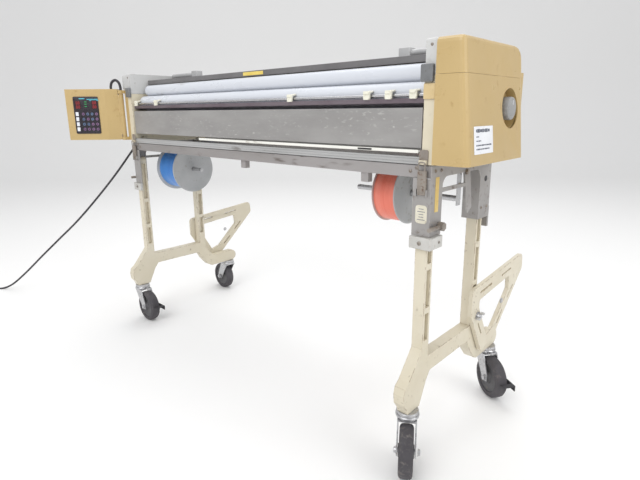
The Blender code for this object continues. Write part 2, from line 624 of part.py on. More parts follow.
# A roll arm's side view: its corners clockwise from the nose's top, how far in the window's edge lies
# from each side, and the slots, each on a side's middle line between two shares of its length.
ARM_CORNERS = [(0.085, 0.310), (0.365, 0.335), (0.370, 0.295), (0.220, 0.160), (0.150, 0.140), (0.085, 0.250)]
ARM_BARS = [0.034, 0.085, 0.028, 0.028, 0.038, 0.038]
ARM_SLOTS = ((0, 0.10, 0.35), (0, 0.62, 0.85), (2, 0.15, 0.38), (2, 0.62, 0.85), (4, 0.35, 0.65))
SLOT_R = 0.0019


def drawn_in(corners, widths):
    """The corners of a clockwise polygon after each side has moved in by its own width."""
    lines = []
    for (y0, z0), (y1, z1), width in zip(corners, corners[1:] + corners[:1], widths):
        run = math.hypot(y1 - y0, z1 - z0)
        normal = ((z1 - z0) / run, (y0 - y1) / run)
        lines.append((normal, normal[0] * y0 + normal[1] * z0 + width))
    moved = []
    for (n0, d0), (n1, d1) in zip(lines[-1:] + lines[:-1], lines):
        cross = n0[0] * n1[1] - n0[1] * n1[0]
        moved.append(((d0 * n1[1] - d1 * n0[1]) / cross, (n0[0] * d1 - n1[0] * d0) / cross))
    return moved


def softened(corners, radius, steps=3):
    """A clockwise polygon's outline with an arc at every corner."""
    shape = []
    for k, centre in enumerate(drawn_in(corners, [radius] * len(corners))):
        (y0, z0), (y1, z1), (y2, z2) = corners[k - 1], corners[k], corners[(k + 1) % len(corners)]
        start = math.degrees(math.atan2(z1 - z0, y1 - y0)) + 90
        end = math.degrees(math.atan2(z2 - z1, y2 - y1)) + 90
        shape += arc(centre, radius, start, start - (start - end) % 360, steps)
    return shape


def arm(side, name):
    """A cast triangle that holds the wallpaper roll behind the stand, slotted along its bars."""
    x0, x1 = sorted((side * ARM_IN, side * ARM_OUT))
    obj = outline(name, softened(ARM_CORNERS, 0.013), x0, x1)
    cut(obj, outline("window", softened(drawn_in(ARM_CORNERS, ARM_BARS), 0.006), x0 - 0.005, x1 + 0.005))
    middles = drawn_in(ARM_CORNERS, [bar / 2 for bar in ARM_BARS])
    for edge, start, end in ARM_SLOTS:
        first, last = Vector(middles[edge]), Vector(middles[(edge + 1) % len(middles)])
        lean = math.degrees(math.atan2(last.y - first.y, last.x - first.x))
        shape = arc(first.lerp(last, start), SLOT_R, lean + 90, lean + 270, 4)
        shape += arc(first.lerp(last, end), SLOT_R, lean - 90, lean + 90, 4)
        cut(obj, outline("slot", shape, x0 - 0.005, x1 + 0.005))
    return finish(obj, CREAM, (side * ARM_IN, ARM_Y, ARM_Z))


arm(-1, "roll_arm_left")
arm(1, "roll_arm_right")

# ---- casters ------------------------------------------------------------------------------------
def fork_mesh():
    """Swivel head, crown, two cheeks and the axle, trailing along +X from the swivel axis."""
    cheek = [(-0.018, 0.1065), (0.022, 0.1065), (0.0430, 0.0600), (0.0430, 0.0430), (0.0240, 0.0430)]
    sideways = Matrix(((1, 0, 0), (0, 0, 1), (0, 1, 0)))
    fork = boxes("fork", ((-0.018, -0.0185, 0.1035), (0.0215, 0.0185, 0.1064)))
    for y in (-0.0190, 0.0165):
        unite(fork, outline("cheek", cheek, y, y + 0.0025, sideways))
    unite(fork, rods("head", ((0, 0, 0.1050), (0, 0, FOOT_Z - GAP), 0.0215, 24)),
          rods("axle", ((TRAIL, -0.0192, 0.050), (TRAIL, 0.0192, 0.050), 0.0050, 16)))
    return fork.data


FORK = fork_mesh()
WHEEL = turned("wheel", [(-0.0158, 0.0053), (-0.0158, 0.0150), (-0.0090, 0.0180), (-0.0100, 0.0330), (-WHEEL_HALF, 0.0370),
                         (-WHEEL_HALF, 0.0440), (-0.0085, WHEEL_R), (0.0085, WHEEL_R), (WHEEL_HALF, 0.0440),
                         (WHEEL_HALF, 0.0370), (0.0100, 0.0330), (0.0090, 0.0180), (0.0158, 0.0150), (0.0158, 0.0053)],
               (0, 0, 0), (0, 1, 0), 32).data
CASTERS = (("front_left", -1, CASTER_FRONT, (1.0, 0.0)), ("front_right", 1, CASTER_FRONT, (0.52, -0.854)),
           ("rear_left", -1, CASTER_REAR, (-1.0, 0.04)), ("rear_right", 1, CASTER_REAR, (0.824, -0.566)))
BRAKED = ("front_left", "rear_right")


def brake_pedal():
    """An arm outside the fork's cheek, hung on the axle, and a tread behind the tyre."""
    pedal = boxes("pedal", ((0.0300, 0.0197, 0.0450), (0.0990, 0.0220, 0.0590)))
    return unite(pedal, boxes("tread", ((0.0860, -0.0120, 0.0560), (0.0990, 0.0205, 0.0590)))).data


PEDAL = brake_pedal()
for name, side, y, (dx, dy) in CASTERS:
    turn = math.atan2(dy, dx)
    swivel = Vector((side * LEG_X, y, 0))
    axle = swivel + Vector((math.cos(turn) * TRAIL, math.sin(turn) * TRAIL, WHEEL_R))
    pieces = [(f"{name}_fork", FORK, swivel, (0, 0, 0), ZINC), (f"{name}_wheel", WHEEL, axle, (0, 0, 0), RUBBER)]
    if name in BRAKED:
        pieces.append((f"{name}_brake", PEDAL, axle, (TRAIL, 0, WHEEL_R), ZINC))
    for piece, mesh, place, own, look in pieces:
        obj = bpy.data.objects.new(piece, mesh.copy())
        obj.data.transform(Matrix.Translation(-Vector(own)))
        finish(obj, look)
        obj.location = place
        obj.rotation_euler = (0, 0, turn)

# ---- toggle latches, leg lock levers and small hardware -----------------------------------------
LATCH_Y, LATCH_Z = -0.1090, 0.5480
LOCK_Y, LOCK_Z = -0.0730, 0.4850
for side, name in ((-1, "left"), (1, "right")):
    lever = boxes(f"latch_{name}", mirrored(side, (0.5262, -0.1125, 0.5455), (0.5438, -0.1062, 0.5900)))
    finish(rounded(lever, 0.0012, 1), ZINC, (side * 0.535, LATCH_Y, LATCH_Z))
    lock = rods(f"lock_lever_{name}", ((side * 0.5575, -0.1180, LOCK_Z), (side * 0.5575, LOCK_Y, LOCK_Z), 0.0040, 12))
    unite(lock, rods("hub", ((side * (POST_OUT + GAP), LOCK_Y, LOCK_Z), (side * 0.5640, LOCK_Y, LOCK_Z), 0.0085, 6)))
    finish(lock, STEEL, (side * POST_OUT, LOCK_Y, LOCK_Z))

pin = rods("box_pin", ((BOX_X, BOX_Y, BOX_Z0 + 0.0005), (BOX_X, BOX_Y, 0.7636), 0.0030, 16))
finish(pin, ZINC)

# ---- mains cord ---------------------------------------------------------------------------------
GLAND = (-PLATE_OUT - GAP, -0.030, 0.6200)
EXIT = (-0.5900, -0.030, 0.6200)
gland = rods("cable_gland", (GLAND, EXIT, 0.0075, 16, 0.0048))
finish(gland, BLACK)

CORD_ROUTE = [(-0.5904, -0.0300, 0.6200), (-0.6090, -0.0302, 0.6195), (-0.6330, -0.0400, 0.6000),
              (-0.6600, -0.0600, 0.5600), (-0.7230, -0.1000, 0.4750), (-0.8000, -0.1450, 0.3850),
              (-0.8800, -0.1900, 0.3000), (-0.9600, -0.2350, 0.2250), (-1.0400, -0.2800, 0.1500),
              (-1.1150, -0.3200, 0.0800), (-1.1800, -0.3560, 0.0250), (-1.2200, -0.3840, 0.0037),
              (-1.2500, -0.4150, 0.0037), (-1.2720, -0.4540, 0.0037), (-1.2842, -0.4980, 0.0037)]
COIL_C, COIL_R, COIL_HALF = (-1.3350, -0.5150, 0.0), 0.0385, 0.0110
cord = tube("mains_cord", smooth_route(CORD_ROUTE, 0.018), CORD_R, 2)
finish(cord, BLACK)
coil = turned("cord_coil", [(0.0002, COIL_R - COIL_HALF), (0.0002, COIL_R + COIL_HALF), (0.0180, COIL_R + COIL_HALF),
                            (0.0180, COIL_R - COIL_HALF)], COIL_C, (0, 0, 1), 24)
finish(coil, BLACK)

PLUG = (-1.3350, -0.5760, 0.0085)
plug = boxes("mains_plug", ((PLUG[0] - 0.022, PLUG[1] - 0.010, 0.0005), (PLUG[0] + 0.010, PLUG[1] + 0.010, 0.0165)))
for y in (-0.0064, 0.0064):
    unite(plug, boxes("pin", ((PLUG[0] - 0.040, PLUG[1] + y - 0.0008, 0.0055), (PLUG[0] - 0.020, PLUG[1] + y + 0.0008, 0.0115))))
finish(plug, BLACK)
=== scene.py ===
"""A wallpaper pasting machine: a roller paste coater on a folding stand with casters."""

import math

import bpy
import numpy as np
from mathutils import Matrix, Vector


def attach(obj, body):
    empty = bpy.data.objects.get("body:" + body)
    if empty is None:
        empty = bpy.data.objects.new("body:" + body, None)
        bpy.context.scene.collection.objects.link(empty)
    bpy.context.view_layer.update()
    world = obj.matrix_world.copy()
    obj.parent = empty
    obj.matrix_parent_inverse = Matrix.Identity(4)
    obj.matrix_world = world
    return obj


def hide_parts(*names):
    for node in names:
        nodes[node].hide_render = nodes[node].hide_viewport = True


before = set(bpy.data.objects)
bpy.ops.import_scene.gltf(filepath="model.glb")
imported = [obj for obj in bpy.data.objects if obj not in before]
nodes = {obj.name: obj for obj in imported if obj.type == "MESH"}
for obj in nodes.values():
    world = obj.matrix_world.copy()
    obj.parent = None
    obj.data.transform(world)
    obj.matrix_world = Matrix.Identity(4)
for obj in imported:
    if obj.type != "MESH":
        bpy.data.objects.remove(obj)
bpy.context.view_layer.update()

# ---- camera, light and floor ---------------------------------------------------------------------
# The machine's own frame has X = 0 midway between its side plates and Y = 0 midway between its legs.
# MIDDLE carries a point of that frame to the model's.
MIDDLE = np.array((0.0545, -0.0646, 0.0))
EYE = Vector((0.9765, -0.8541, 0.6942)) + Vector(MIDDLE)
YAW, PITCH, ROLL = math.radians(42.658), math.radians(13.512), math.radians(-0.472)

ahead = Vector((-math.sin(YAW) * math.cos(PITCH), math.cos(YAW) * math.cos(PITCH), -math.sin(PITCH)))
level = Vector((math.cos(YAW), math.sin(YAW), 0.0))
across = math.cos(ROLL) * level + math.sin(ROLL) * level.cross(ahead)
upward = across.cross(ahead)
camera = bpy.data.objects.new("camera", bpy.data.cameras.new("camera"))
camera.data.lens = 26.88
camera.data.shift_x, camera.data.shift_y = -0.0024, -0.0222
camera.matrix_world = Matrix((across, upward, -ahead)).transposed().to_4x4()
camera.location = EYE
bpy.context.scene.collection.objects.link(camera)
bpy.context.scene.camera = camera

world = bpy.data.worlds.new("studio")
world.use_nodes = True
world.node_tree.nodes["Background"].inputs["Color"].default_value = (0.97, 0.98, 1.0, 1.0)
world.node_tree.nodes["Background"].inputs["Strength"].default_value = 0.72
bpy.context.scene.world = world
bpy.context.scene.view_settings.view_transform = "Standard"

for name, place, aim, size, power in (("front_softbox", (0.6, -2.6, 2.6), (0.0, 0.0, 0.5), 2.2, 46.0),
                                      ("side_softbox", (2.9, 0.2, 1.9), (0.2, 0.0, 0.5), 1.8, 22.0),
                                      ("top_softbox", (-0.6, 0.9, 3.0), (0.0, 0.0, 0.4), 2.6, 38.0)):
    light = bpy.data.objects.new(name, bpy.data.lights.new(name, "AREA"))
    light.data.size = size
    light.data.energy = power
    light.location = place
    light.rotation_euler = (Vector(aim) - Vector(place)).to_track_quat("-Z", "Y").to_euler()
    bpy.context.scene.collection.objects.link(light)


def floor_sweep():
    """Points of a studio sweep that faces the camera: flat near the machine, then rising on a quarter
    circle to a wall."""
    across_floor = np.linspace(-14.0, 14.0, 5)
    turn = np.linspace(0, math.pi / 2, 13)
    away = np.concatenate([[-7.0, 0.0, 3.0], 3.6 + 1.4 * np.sin(turn), [5.0]])
    rise = np.concatenate([[0.0, 0.0, 0.0], 1.4 - 1.4 * np.cos(turn), [6.0]])
    grid = np.empty((len(across_floor), len(away), 3))
    grid[..., 0] = across_floor[:, None] * math.cos(YAW) - away * math.sin(YAW)
    grid[..., 1] = across_floor[:, None] * math.sin(YAW) + away * math.cos(YAW)
    grid[..., 2] = rise - 0.0002
    return grid


sweep = floor_sweep()
rows, columns = sweep.shape[:2]
first = (np.arange(rows - 1)[:, None] * columns + np.arange(columns - 1)).ravel()
mesh = bpy.data.meshes.new("floor")
mesh.from_pydata(sweep.reshape(-1, 3).tolist(), [],
                 np.stack([first, first + columns, first + columns + 1, first + 1], 1).tolist())
mesh.shade_smooth()
floor = bpy.data.objects.new("floor", mesh)
bpy.context.scene.collection.objects.link(floor)
paper = bpy.data.materials.new("floor_paper")
paper.use_nodes = True
paper.node_tree.nodes["Principled BSDF"].inputs["Base Color"].default_value = (0.90, 0.895, 0.885, 1.0)
paper.node_tree.nodes["Principled BSDF"].inputs["Roughness"].default_value = 0.75
floor.data.materials.append(paper)

# ---- mains cord ----------------------------------------------------------------------------------
# A black three-core lead, 7 mm thick: out of a tapered gland on the left end, down to the floor in one
# slack curve, along it, then six turns of a stored coil and a moulded plug.
CORD_R = 0.0035


def placed(points):
    """Points of the machine's own frame, carried to the model's."""
    return np.asarray(points, float) + MIDDLE


def eased(route, spacing):
    """Points a spacing apart on a Catmull-Rom curve through the route's points."""
    route = np.asarray(route, float)
    ends = np.vstack([2 * route[0] - route[1], route, 2 * route[-1] - route[-2]])
    t = np.linspace(0, 1, 24, endpoint=False)[:, None]
    a, b, c, d = (ends[k:len(ends) - 3 + k, None] for k in range(4))
    fine = 0.5 * (2 * b + (c - a) * t + (2 * a - 5 * b + 4 * c - d) * t ** 2 + (3 * b - a - 3 * c + d) * t ** 3)
    fine = np.vstack([fine.reshape(-1, 3), route[-1]])
    run = np.concatenate([[0], np.cumsum(np.linalg.norm(np.diff(fine, axis=0), axis=1))])
    even = np.linspace(0, run[-1], max(2, round(run[-1] / spacing)) + 1)
    return np.stack([np.interp(even, run, fine[:, k]) for k in range(3)], 1)


def joined(*shapes):
    """Several (points, faces) shapes as one."""
    points, faces, count = [], [], 0
    for some_points, some_faces in shapes:
        points.append(some_points)
        faces += [tuple(k + count for k in face) for face in some_faces]
        count += len(some_points)
    return np.vstack(points), faces


def rings(grid, closed=False):
    """Rings of points joined in order by four-sided faces. The first and last ring are closed by a fan
    to their middle, or joined to each other where closed. The shape is turned right side out by the
    sign of its volume."""
    grid = np.asarray(grid, float)
    m, n = grid.shape[:2]
    i = np.arange(m if closed else m - 1)[:, None] * n
    j = np.arange(n)
    after = (i + n) % (m * n)
    quads = np.stack(np.broadcast_arrays(i + j, i + (j + 1) % n, after + (j + 1) % n, after + j), -1)
    points = grid.reshape(-1, 3)
    faces = [tuple(q) for q in quads.reshape(-1, 4).tolist()]
    if not closed:
        points = np.vstack([points, grid[0].mean(0), grid[-1].mean(0)])
        top, bottom, last = m * n, m * n + 1, (m - 1) * n
        faces += [(top, (k + 1) % n, k) for k in range(n)]
        faces += [(bottom, last + k, last + (k + 1) % n) for k in range(n)]
    corner = np.array([f[:3] for f in faces])
    a, b, c = (points[corner[:, k]] - points.mean(0) for k in range(3))
    volume = np.einsum("ij,ij->i", a, np.cross(b, c)).sum()
    volume += sum(np.dot(points[f[0]] - points.mean(0), np.cross(points[f[2]] - points.mean(0),
                                                                 points[f[3]] - points.mean(0)))
                  for f in faces if len(f) == 4)
    if volume < 0:
        faces = [f[::-1] for f in faces]
    return points, faces


def along(path, radius, sides=16):
    """A round tube along a path: at each point a circle square to the path, its radius fixed or given
    for each point. The circle is carried along without twist."""
    path = np.asarray(path, float)
    run = np.gradient(path, axis=0)
    run /= np.linalg.norm(run, axis=1)[:, None]
    side = np.cross(run[0], (0.31, 0.17, 0.94))
    sides_of = []
    for direction in run:
        side = side - direction * np.dot(side, direction)
        side = side / np.linalg.norm(side)
        sides_of.append(side)
    side = np.array(sides_of)
    other = np.cross(run, side)
    angle = np.linspace(0, 2 * math.pi, sides, endpoint=False)
    radius = np.broadcast_to(np.asarray(radius, float), len(path))[:, None, None]
    circle = side[:, None] * np.cos(angle)[:, None] + other[:, None] * np.sin(angle)[:, None]
    return rings(path[:, None] + radius * circle)


def piece(name, shape, material, body, *stands_for, slot=None, crease=38):
    """Puts a (points, faces) shape into an object with its material, shades it smooth between sharp
    edges, and hangs it on a body of the machine."""
    points, faces = shape
    mesh = bpy.data.meshes.new(name)
    mesh.from_pydata(np.asarray(points).tolist(), [], faces)
    mesh.shade_smooth()
    mesh.set_sharp_from_angle(angle=math.radians(crease))
    mesh.materials.append(material)
    obj = bpy.data.objects.new(name, mesh)
    bpy.context.scene.collection.objects.link(obj)
    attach(obj, body)
    if stands_for:
        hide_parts(*stands_for)
    return obj


def coating(name, base, second, rough=(0.35, 0.55), metallic=0.0, patch=7.0, amount=0.5, worn=None,
            wear=0.0015, dirt_and_sheen=None, dirt_and_sheen_amount=0.5, grain=0.02, grain_scale=350.0, stretch=(1, 1, 1)):
    """A finish from noise on object coordinates: a slow drift between two close colours, patches of a
    third colour (grime on most parts, painted highlight streaks on the trough), wear to another colour
    where the surface turns a corner, and a fine grain in the bump."""
    material = bpy.data.materials.new(name)
    material.use_nodes = True
    tree = material.node_tree
    shader = tree.nodes["Principled BSDF"]
    shader.inputs["Metallic"].default_value = metallic

    def node(kind, **values):
        made = tree.nodes.new(kind)
        for key, value in values.items():
            setattr(made, key, value)
        return made

    def noise(scale, detail, distortion=0.0):
        made = node("ShaderNodeTexNoise")
        tree.links.new(mapped.outputs["Vector"], made.inputs["Vector"])
        made.inputs["Scale"].default_value = scale
        made.inputs["Detail"].default_value = detail
        made.inputs["Distortion"].default_value = distortion
        return made.outputs["Fac"]

    def ramp(source, low_at, high_at, top=1.0):
        made = node("ShaderNodeMapRange", interpolation_type="SMOOTHSTEP")
        tree.links.new(source, made.inputs["Value"])
        made.inputs["From Min"].default_value = low_at
        made.inputs["From Max"].default_value = high_at
        made.inputs["To Max"].default_value = top
        return made.outputs["Result"]

    def times(a, b):
        made = node("ShaderNodeMath", operation="MULTIPLY")
        tree.links.new(a, made.inputs[0])
        tree.links.new(b, made.inputs[1])
        return made.outputs[0]

    def mix(share, under, over):
        made = node("ShaderNodeMix", data_type="RGBA")
        tree.links.new(share, made.inputs["Factor"])
        for value, socket in ((under, made.inputs[6]), (over, made.inputs[7])):
            if isinstance(value, tuple):
                socket.default_value = (*value, 1.0)
            else:
                tree.links.new(value, socket)
        return made.outputs[2]

    place = node("ShaderNodeTexCoord")
    mapped = node("ShaderNodeMapping")
    mapped.inputs["Scale"].default_value = stretch
    tree.links.new(place.outputs["Object"], mapped.inputs["Vector"])

    slow = ramp(noise(patch, 4), 0.5 - 0.35 * amount, 0.5 + 0.35 * amount)
    colour = mix(slow, base, second)
    mottle = noise(patch * 9, 6, 0.4)
    # Patches of the third colour: grime on most parts, painted highlight streaks on the trough.
    if dirt_and_sheen:
        spots = times(ramp(mottle, 0.66 - 0.22 * dirt_and_sheen_amount, 0.78), ramp(noise(patch * 1.7, 3), 0.42, 0.62))
        colour = mix(spots, colour, dirt_and_sheen)
    if worn:
        bevel = node("ShaderNodeBevel", samples=4)
        bevel.inputs["Radius"].default_value = wear
        face = node("ShaderNodeNewGeometry")
        turn = node("ShaderNodeVectorMath", operation="DOT_PRODUCT")
        tree.links.new(bevel.outputs["Normal"], turn.inputs[0])
        tree.links.new(face.outputs["True Normal"], turn.inputs[1])
        edge = times(ramp(turn.outputs["Value"], 0.992, 0.93), ramp(noise(patch * 6, 5, 0.6), 0.44, 0.60))
        colour = mix(edge, colour, worn)
    tree.links.new(colour, shader.inputs["Base Color"])
    gloss = node("ShaderNodeMapRange")
    tree.links.new(noise(patch * 5, 5), gloss.inputs["Value"])
    gloss.inputs["From Min"].default_value = 0.3
    gloss.inputs["From Max"].default_value = 0.7
    gloss.inputs["To Min"].default_value = rough[0]
    gloss.inputs["To Max"].default_value = rough[1]
    tree.links.new(gloss.outputs["Result"], shader.inputs["Roughness"])
    bump = node("ShaderNodeBump")
    bump.inputs["Strength"].default_value = grain * 10
    bump.inputs["Distance"].default_value = 0.0004
    tree.links.new(noise(grain_scale, 3), bump.inputs["Height"])
    tree.links.new(bump.outputs["Normal"], shader.inputs["Normal"])
    return material


CORD_ROUTE = placed([(-0.5904, -0.0300, 0.6200), (-0.6090, -0.0302, 0.6195), (-0.6330, -0.0400, 0.6000),
                     (-0.6600, -0.0600, 0.5600), (-0.7230, -0.1000, 0.4750), (-0.8000, -0.1450, 0.3850),
                     (-0.8800, -0.1900, 0.3000), (-0.9600, -0.2350, 0.2250), (-1.0400, -0.2800, 0.1500),
                     (-1.1150, -0.3200, 0.0800), (-1.1800, -0.3560, 0.0250), (-1.2200, -0.3840, 0.0037),
                     (-1.2500, -0.4150, 0.0037), (-1.2720, -0.4540, 0.0037), (-1.2842, -0.4980, 0.0037)])
COIL_MIDDLE, COIL_R, TURNS = placed((-1.3350, -0.5150, 0.0)), 0.0385, 6
PLUG_END = placed((-1.3248, -0.5760, 0.0085))


def wound(turns, per_turn=20):
    """The coil's turns: three side by side in each of two layers, each turn a diameter from the next,
    run clockwise from the side where the lead comes in."""
    t = np.linspace(0, turns, turns * per_turn + 1)
    lane = np.interp(t, np.arange(turns + 1), [1, 0, -1, -1, 0, 1, 1][:turns + 1])
    layer = np.interp(t, [0, 2.6, 3.4, turns], [0, 0, 1, 1])
    angle = -0.15 - 2 * math.pi * t
    radius = COIL_R + lane * 2 * CORD_R
    return np.stack([COIL_MIDDLE[0] + radius * np.cos(angle), COIL_MIDDLE[1] + radius * np.sin(angle),
                     0.0037 + layer * 0.0071], 1)


coil_path = wound(TURNS)
tail = np.vstack([placed([(-1.2895, -0.5400, 0.0085), (-1.2975, -0.5610, 0.0070), (-1.3110, -0.5730,
                                                                                   0.0075)]), PLUG_END])
cord_path = eased(np.vstack([CORD_ROUTE, coil_path, tail]), 0.006)
black_rubber = coating("black_rubber", (0.026, 0.024, 0.028), (0.040, 0.037, 0.043), (0.42, 0.62), patch=9,
                       dirt_and_sheen=(0.11, 0.10, 0.10), dirt_and_sheen_amount=0.4)
cord = piece("mains_lead", along(cord_path, CORD_R, 10), black_rubber, "frame", "mains_cord", "cord_coil",
             slot="mains_cord")
nodes["mains_plug"].data.materials.clear()
nodes["mains_plug"].data.materials.append(black_rubber)


def lathed(profile, centre, axis, sides=48, closed=False):
    """A profile of (along the axis, radius) pairs carried round the axis through a centre."""
    profile = np.asarray(profile, float)
    turn = np.array(Vector(axis).to_track_quat("Z", "Y").to_matrix())
    angle = np.linspace(0, 2 * math.pi, sides, endpoint=False)
    grid = np.stack(np.broadcast_arrays(profile[:, 1:] * np.cos(angle), profile[:, 1:] * np.sin(angle),
                                        profile[:, :1]), -1)
    return rings(grid @ turn.T + np.asarray(centre), closed)


# The gland: a ribbed, tapered sleeve 37 mm long that keeps the lead from kinking where it leaves.
sleeve = np.linspace(0, 1, 46)
ribs = 0.0005 * np.cos(sleeve * 2 * math.pi * 9) * (sleeve > 0.18)
gland_start = placed((-0.5533, -0.0300, 0.6200))
gland_profile = np.stack([sleeve * 0.0367, 0.0070 - 0.0022 * sleeve + ribs], 1)
piece("gland_sleeve", lathed(gland_profile, gland_start, (-1, 0, 0), 32), black_rubber, "frame",
      "cable_gland", slot="cable_gland")


# ---- finishes of the carried-over parts ----------------------------------------------------------
# Every plate, casting and pressing keeps its shape. Its loose edges are welded and broken with a small
# radius, as on the real sheet and castings, and it gets its own coat.
def dressed(names, material, radius=0.0010, segments=2):
    """Gives parts of the machine a finish and rounds their edges."""
    for name in names.split():
        obj = nodes[name]
        obj.data.materials.clear()
        obj.data.materials.append(material)
        weld = obj.modifiers.new("weld", "WELD")
        weld.merge_threshold = 0.00002
        if radius:
            bevel = obj.modifiers.new("round", "BEVEL")
            bevel.width = radius
            bevel.segments = segments
            bevel.limit_method = "ANGLE"
            bevel.angle_limit = math.radians(32)
            bevel.harden_normals = False


GRIME, RUST = (0.16, 0.10, 0.045), (0.13, 0.055, 0.022)
cream = coating("cream_paint", (0.64, 0.575, 0.43), (0.70, 0.64, 0.50), (0.38, 0.6), patch=8, amount=0.8,
                worn=(0.22, 0.15, 0.085), wear=0.0022, dirt_and_sheen=GRIME, dirt_and_sheen_amount=0.35)
leg_cream = coating("leg_cream_paint", (0.64, 0.58, 0.445), (0.70, 0.645, 0.52), (0.36, 0.6), patch=9,
                    amount=0.8, worn=(0.24, 0.16, 0.09), wear=0.0022, dirt_and_sheen=GRIME, dirt_and_sheen_amount=0.25)
mustard = coating("mustard_enamel", (0.50, 0.360, 0.155), (0.55, 0.400, 0.185), (0.26, 0.42), patch=5,
                  amount=0.7, worn=(0.70, 0.52, 0.27), wear=0.0016, dirt_and_sheen=(0.40, 0.25, 0.09),
                  dirt_and_sheen_amount=0.2, grain=0.012)
plate_grey = coating("light_grey_paint", (0.52, 0.52, 0.51), (0.58, 0.58, 0.57), (0.34, 0.5), patch=9,
                     worn=(0.30, 0.28, 0.25), dirt_and_sheen=(0.22, 0.19, 0.15), dirt_and_sheen_amount=0.35)
pressed = coating("pressed_steel", (0.32, 0.305, 0.295), (0.42, 0.405, 0.395), (0.34, 0.54), 0.35, patch=11,
                  amount=0.9, worn=(0.50, 0.49, 0.47), dirt_and_sheen=(0.12, 0.085, 0.06), dirt_and_sheen_amount=0.6)
rail_steel = coating("rail_steel", (0.27, 0.25, 0.24), (0.38, 0.36, 0.355), (0.34, 0.55), 0.3, patch=9,
                     amount=0.9, dirt_and_sheen=(0.12, 0.10, 0.085), dirt_and_sheen_amount=0.55, stretch=(0.25, 1, 1))
alloy = coating("dull_alloy", (0.42, 0.42, 0.415), (0.50, 0.50, 0.495), (0.32, 0.5), 0.4, patch=10,
                dirt_and_sheen=(0.16, 0.14, 0.12), dirt_and_sheen_amount=0.5, stretch=(0.2, 1, 1))
zinc = coating("zinc_plate", (0.47, 0.47, 0.48), (0.56, 0.56, 0.57), (0.22, 0.42), 0.85, patch=18, amount=0.9,
               dirt_and_sheen=(0.17, 0.11, 0.07), dirt_and_sheen_amount=0.5)
aged_zinc = coating("aged_zinc", (0.24, 0.21, 0.185), (0.35, 0.31, 0.27), (0.34, 0.55), 0.45, patch=24,
                    amount=0.9, dirt_and_sheen=RUST, dirt_and_sheen_amount=0.7)
hood_grey = coating("hood_dark_grey", (0.135, 0.13, 0.132), (0.175, 0.17, 0.172), (0.4, 0.6), patch=8,
                    worn=(0.26, 0.25, 0.25), dirt_and_sheen=(0.22, 0.2, 0.18), dirt_and_sheen_amount=0.2)
# The pale patch colour here is stretched into horizontal streaks: painted highlights on the stainless steel,
# not grime.
trough_steel = coating("trough_stainless", (0.31, 0.30, 0.292), (0.37, 0.36, 0.35), (0.36, 0.60), 0.3,
                       patch=16, amount=0.7, dirt_and_sheen=(0.58, 0.57, 0.55), dirt_and_sheen_amount=0.45, stretch=(0.5, 1,
                                                                                                 1.6))
collar_alloy = coating("collar_casting", (0.52, 0.51, 0.48), (0.60, 0.59, 0.56), (0.4, 0.6), 0.15, patch=20,
                       worn=(0.3, 0.27, 0.22), dirt_and_sheen=(0.24, 0.19, 0.13), dirt_and_sheen_amount=0.5, grain=0.05)
dark_bar = coating("scraper_steel", (0.155, 0.12, 0.14), (0.20, 0.165, 0.185), (0.3, 0.5), 0.5, patch=12)
gear_steel = coating("gear_steel", (0.42, 0.41, 0.40), (0.5, 0.49, 0.48), (0.25, 0.4), 0.9, patch=30,
                     dirt_and_sheen=(0.08, 0.06, 0.04), dirt_and_sheen_amount=0.7)

dressed("left_leg_frame right_leg_frame", leg_cream, 0.0022, 3)
dressed("roll_arm_left roll_arm_right", leg_cream, 0.0020, 3)
dressed("left_lower_plate right_lower_plate", cream, 0.0012)
dressed("upper_left_plate upper_right_plate back_panel", plate_grey, 0.0006)
dressed("left_end_cap", plate_grey, 0.0008)
dressed("right_lower_cover right_top_cover", mustard, 0.0010, 3)
dressed("control_box box_bracket box_pin", mustard, 0.0010, 3)
dressed("left_end_frame right_end_frame", pressed, 0.0006)
dressed("front_stand_rail rear_stand_rail", rail_steel, 0.0008)
dressed("left_leg_collar right_leg_collar", collar_alloy, 0.0018, 3)
dressed("hood", hood_grey, 0.0004)
dressed("paste_trough", trough_steel, 0.0004)
dressed("scraper_bar", dark_bar, 0.0006)
dressed("red_spindle blue_spindle", zinc, 0.0006)
dressed("latch_left latch_right lock_lever_left lock_lever_right", aged_zinc, 0.0006)
dressed("top_gear paste_gear pickup_gear motor_pinion", gear_steel, 0)
dressed("gear_motor", hood_grey, 0.0012)
dressed("front_left_fork front_right_fork rear_left_fork rear_right_fork", zinc, 0.0006)
dressed("front_left_brake rear_right_brake", black_rubber, 0.0006)

# ---- rollers -------------------------------------------------------------------------------------
# Three full-width rollers on steel shafts: the pickup roller runs in the paste, the next two carry the
# paper. Their sleeves are pale, smooth plastic with a chamfer and a dull bearing ring at each end.
MODULE = 0.0015


def from_centre(centre, distance, degrees):
    """A point at a distance and an angle from a centre, in Y and Z."""
    angle = math.radians(degrees)
    return centre[0] + distance * math.cos(angle), centre[1] + distance * math.sin(angle)


